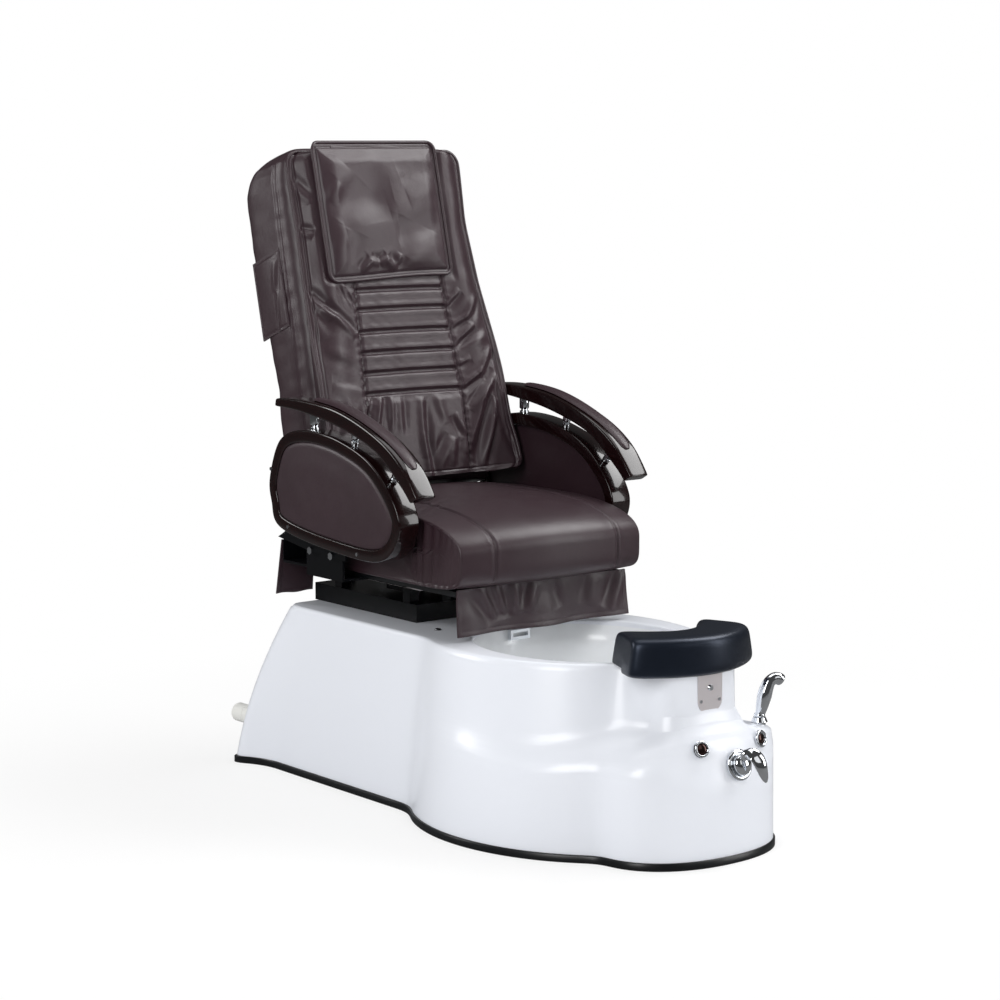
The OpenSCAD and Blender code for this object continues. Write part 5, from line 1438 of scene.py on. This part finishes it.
def pocket_place(u, v):
    """Depth and height on the flank, from the lower rear corner."""
    return mix(0.222, 0.107, u), mix(0.370, 0.550, v) + 0.016 * u


u, v = unit_grid(61, 91)
y_grid, z_grid = pocket_place(u, v)
edge = np.minimum(np.minimum(u, 1 - u) * POCKET_DEEP, np.minimum(v, 1 - v) * POCKET_TALL)
lift = 0.0016 + 0.0055 * np.sin(math.pi * u) * np.sin(1.75 * v) * smooth(edge / 0.015)
lift -= 0.0012 * bell(edge - 0.006, 0.0018) * (v < 0.97)
lift += creases(y_grid, z_grid, [
    (1500, 3720, 1380, 4700, 50, 30), (1200, 5400, 1350, 4700, 80, 24),
])
x_side = -BACK_HALF - 0.0005
front = columns(x_side - np.maximum(lift, 0.0012), y_grid, z_grid)
back = columns(x_side + 0.002, y_grid, z_grid)
points, faces = slab_mesh(front, back)
pocket = add_piece("pocket_panel", on_back(points), faces, "leather", "back", ["side_pocket"], 55)
print("pocket done")

# %% [markdown]
# ## Stitches
#
# Sewing is what makes leather look made. Each row starts as a line of points dropped onto
# the finished surface by ray casting, so it follows every fold. A Geometry Nodes tree walks
# each line at an even spacing, lays one short plump stitch on each point along the line's
# own direction, and varies their lengths a little. The stitches of a body become one mesh.


# %% A tree that sews
def sewing_tree():
    tree = bpy.data.node_groups.new("sewing", "GeometryNodeTree")
    tree.interface.new_socket("Geometry", in_out="INPUT", socket_type="NodeSocketGeometry")
    for title, kind, value in (
        ("Spacing", "Float", 0.0048), ("Stitch length", "Float", 0.0037),
        ("Thickness", "Float", 0.00095), ("Seed", "Int", 4),
        ("Thread", "Material", finishes["thread"]),
    ):
        made = tree.interface.new_socket(title, in_out="INPUT", socket_type="NodeSocket" + kind)
        made.default_value = value
    tree.interface.new_socket("Geometry", in_out="OUTPUT", socket_type="NodeSocketGeometry")

    def step(kind, settings=None, **sockets):
        node = tree.nodes.new(kind)
        for key, value in (settings or {}).items():
            setattr(node, key, value)
        for key, value in sockets.items():
            socket = node.inputs[key.replace("_", " ")]
            if isinstance(value, bpy.types.NodeSocket):
                tree.links.new(value, socket)
            else:
                socket.default_value = value
        return node.outputs[0] if len(node.outputs) else node

    given = tree.nodes.new("NodeGroupInput").outputs
    line = step("GeometryNodeMeshToCurve", Mesh=given["Geometry"])
    by_length = {"mode": "LENGTH"}
    line = step("GeometryNodeResampleCurve", by_length, Curve=line, Length=given["Spacing"])
    bead = step("GeometryNodeMeshUVSphere", Segments=6, Rings=4, Radius=0.5)
    vary = tree.nodes.new("FunctionNodeRandomValue")
    vary.data_type = "FLOAT"
    vary.inputs[2].default_value, vary.inputs[3].default_value = 0.88, 1.06
    tree.links.new(given["Seed"], vary.inputs["Seed"])
    long = step("ShaderNodeMath", {"operation": "MULTIPLY"})
    tree.links.new(vary.outputs[1], long.node.inputs[0])
    tree.links.new(given["Stitch length"], long.node.inputs[1])
    size = step("ShaderNodeCombineXYZ", X=given["Thickness"], Y=given["Thickness"], Z=long)
    along = step("GeometryNodeInputTangent")
    turned = step("FunctionNodeAlignRotationToVector", {"axis": "Z"}, Vector=along)
    sewn = step(
        "GeometryNodeInstanceOnPoints", Points=line, Instance=bead, Rotation=turned, Scale=size
    )
    sewn = step("GeometryNodeRealizeInstances", Geometry=sewn)
    sewn = step("GeometryNodeSetShadeSmooth", Geometry=sewn)
    sewn = step("GeometryNodeSetMaterial", Geometry=sewn, Material=given["Thread"])
    tree.links.new(sewn, tree.nodes.new("NodeGroupOutput").inputs[0])
    return tree


sewing = sewing_tree()
print("sewing tree has", len(sewing.nodes), "nodes")


# %% Rows on the surfaces
def dropped(piece, starts, way):
    """Where rays from the starts meet a piece, as unbroken runs of points."""
    mesh = piece.data
    hits = BVHTree.FromPolygons([v.co for v in mesh.vertices], [p.vertices for p in mesh.polygons])
    ways = np.broadcast_to(way, np.shape(starts))
    runs = [[]]
    for start, w in zip(np.asarray(starts), ways):
        spot = hits.ray_cast(Vector(start), Vector(w))[0]
        if spot is None or (runs[-1] and (spot - runs[-1][-1]).length > 0.02):
            runs.append([])
        if spot is not None:
            runs[-1].append(spot - Vector(w).normalized() * 0.0002)
    return [run for run in runs if len(run) > 2]


def sew(name, body, rows):
    points, edges = [], []
    for row in rows:
        edges += [(len(points) + i, len(points) + i + 1) for i in range(len(row) - 1)]
        points += [tuple(p) for p in row]
    mesh = bpy.data.meshes.new(name)
    mesh.from_pydata(points, edges, [])
    piece = show(name, mesh)
    sewer = piece.modifiers.new("sew", "NODES")
    sewer.node_group = sewing
    for socket in sewing.interface.items_tree:
        if socket.in_out == "INPUT" and socket.name != "Geometry":
            sewer[socket.identifier] = socket.default_value
    make_plain(piece)
    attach(piece, body)
    print(name, len(rows), "rows,", len(piece.data.polygons), "faces")


# %% Stitches of the backrest
COVER_PAIR, FLANK_PAIR, SEAT_PAIR, HEM = 0.0066, 0.0058, 0.0058, 0.013
into_back = on_back([0, 1, 0]) - on_back([0, 0, 0])
back_rows = []
for side in (-1, 1):
    for off in (-COVER_PAIR, COVER_PAIR):
        z = np.linspace(0.012, 0.464, 150)
        line = columns(side * (seam_x(z) + off), -0.3, z)
        back_rows += dropped(cover, on_back(line), into_back)
    for off in (-FLANK_PAIR, FLANK_PAIR):
        z = np.linspace(0.02, 0.752, 200)
        line = columns(side * 0.5, flank_seam(z) + off, z)
        back_rows += dropped(shell_piece, on_back(line), [-side, 0, 0])
low = np.linspace(PILLOW_X - PILLOW_HALF + HEM, PILLOW_X + PILLOW_HALF - HEM, 100)
up = np.linspace(HEM, straight, 90)
for x, s in ((low, HEM), (low[0], up), (low[-1], up)):
    line = columns(x, -0.3, PILLOW_LOW + tilted(x, s))
    back_rows += dropped(pillow, on_back(line), into_back)
walk = np.linspace(0.05, 0.95, 60)
for u, v in ((0.05, walk), (0.95, walk), (walk, 0.035)):
    line = columns(-0.5, *pocket_place(u, v))
    back_rows += dropped(pocket, on_back(line), [1, 0, 0])
sew("back_stitches", "back", back_rows)

# %% Stitches of the seat and the apron
seat_rows = []
y = np.linspace(0.28, -0.02, 90)
a = np.radians(np.linspace(91, 205, 70))
ray = columns(0, np.cos(a), np.sin(a))
low, high = SEAT_SEAM - SEAT_PAIR, SEAT_SEAM + SEAT_PAIR
for x in (-high, -low, low, high):
    seat_rows += dropped(seat_piece, columns(x, y, 0.9), [0, 0, -1])
    seat_rows += dropped(seat_piece, np.array([x, -0.022, 0.585]) + 0.5 * ray, -ray)
wide = np.linspace(-APRON_HALF + 0.009, APRON_RIGHT + APRON_FLARE - 0.010, 140)
tall = np.linspace(APRON_LOW + 0.011, APRON_TOP - 0.004, 30)
right = np.linspace(wide[-1], APRON_RIGHT - 0.010, 30)
for x, z in ((wide, APRON_LOW + 0.0112), (wide[0], tall), (right, tall)):
    seat_rows += dropped(apron, columns(x, -0.5, z), [0, 1, 0])
sew("seat_stitches", "seat", seat_rows)
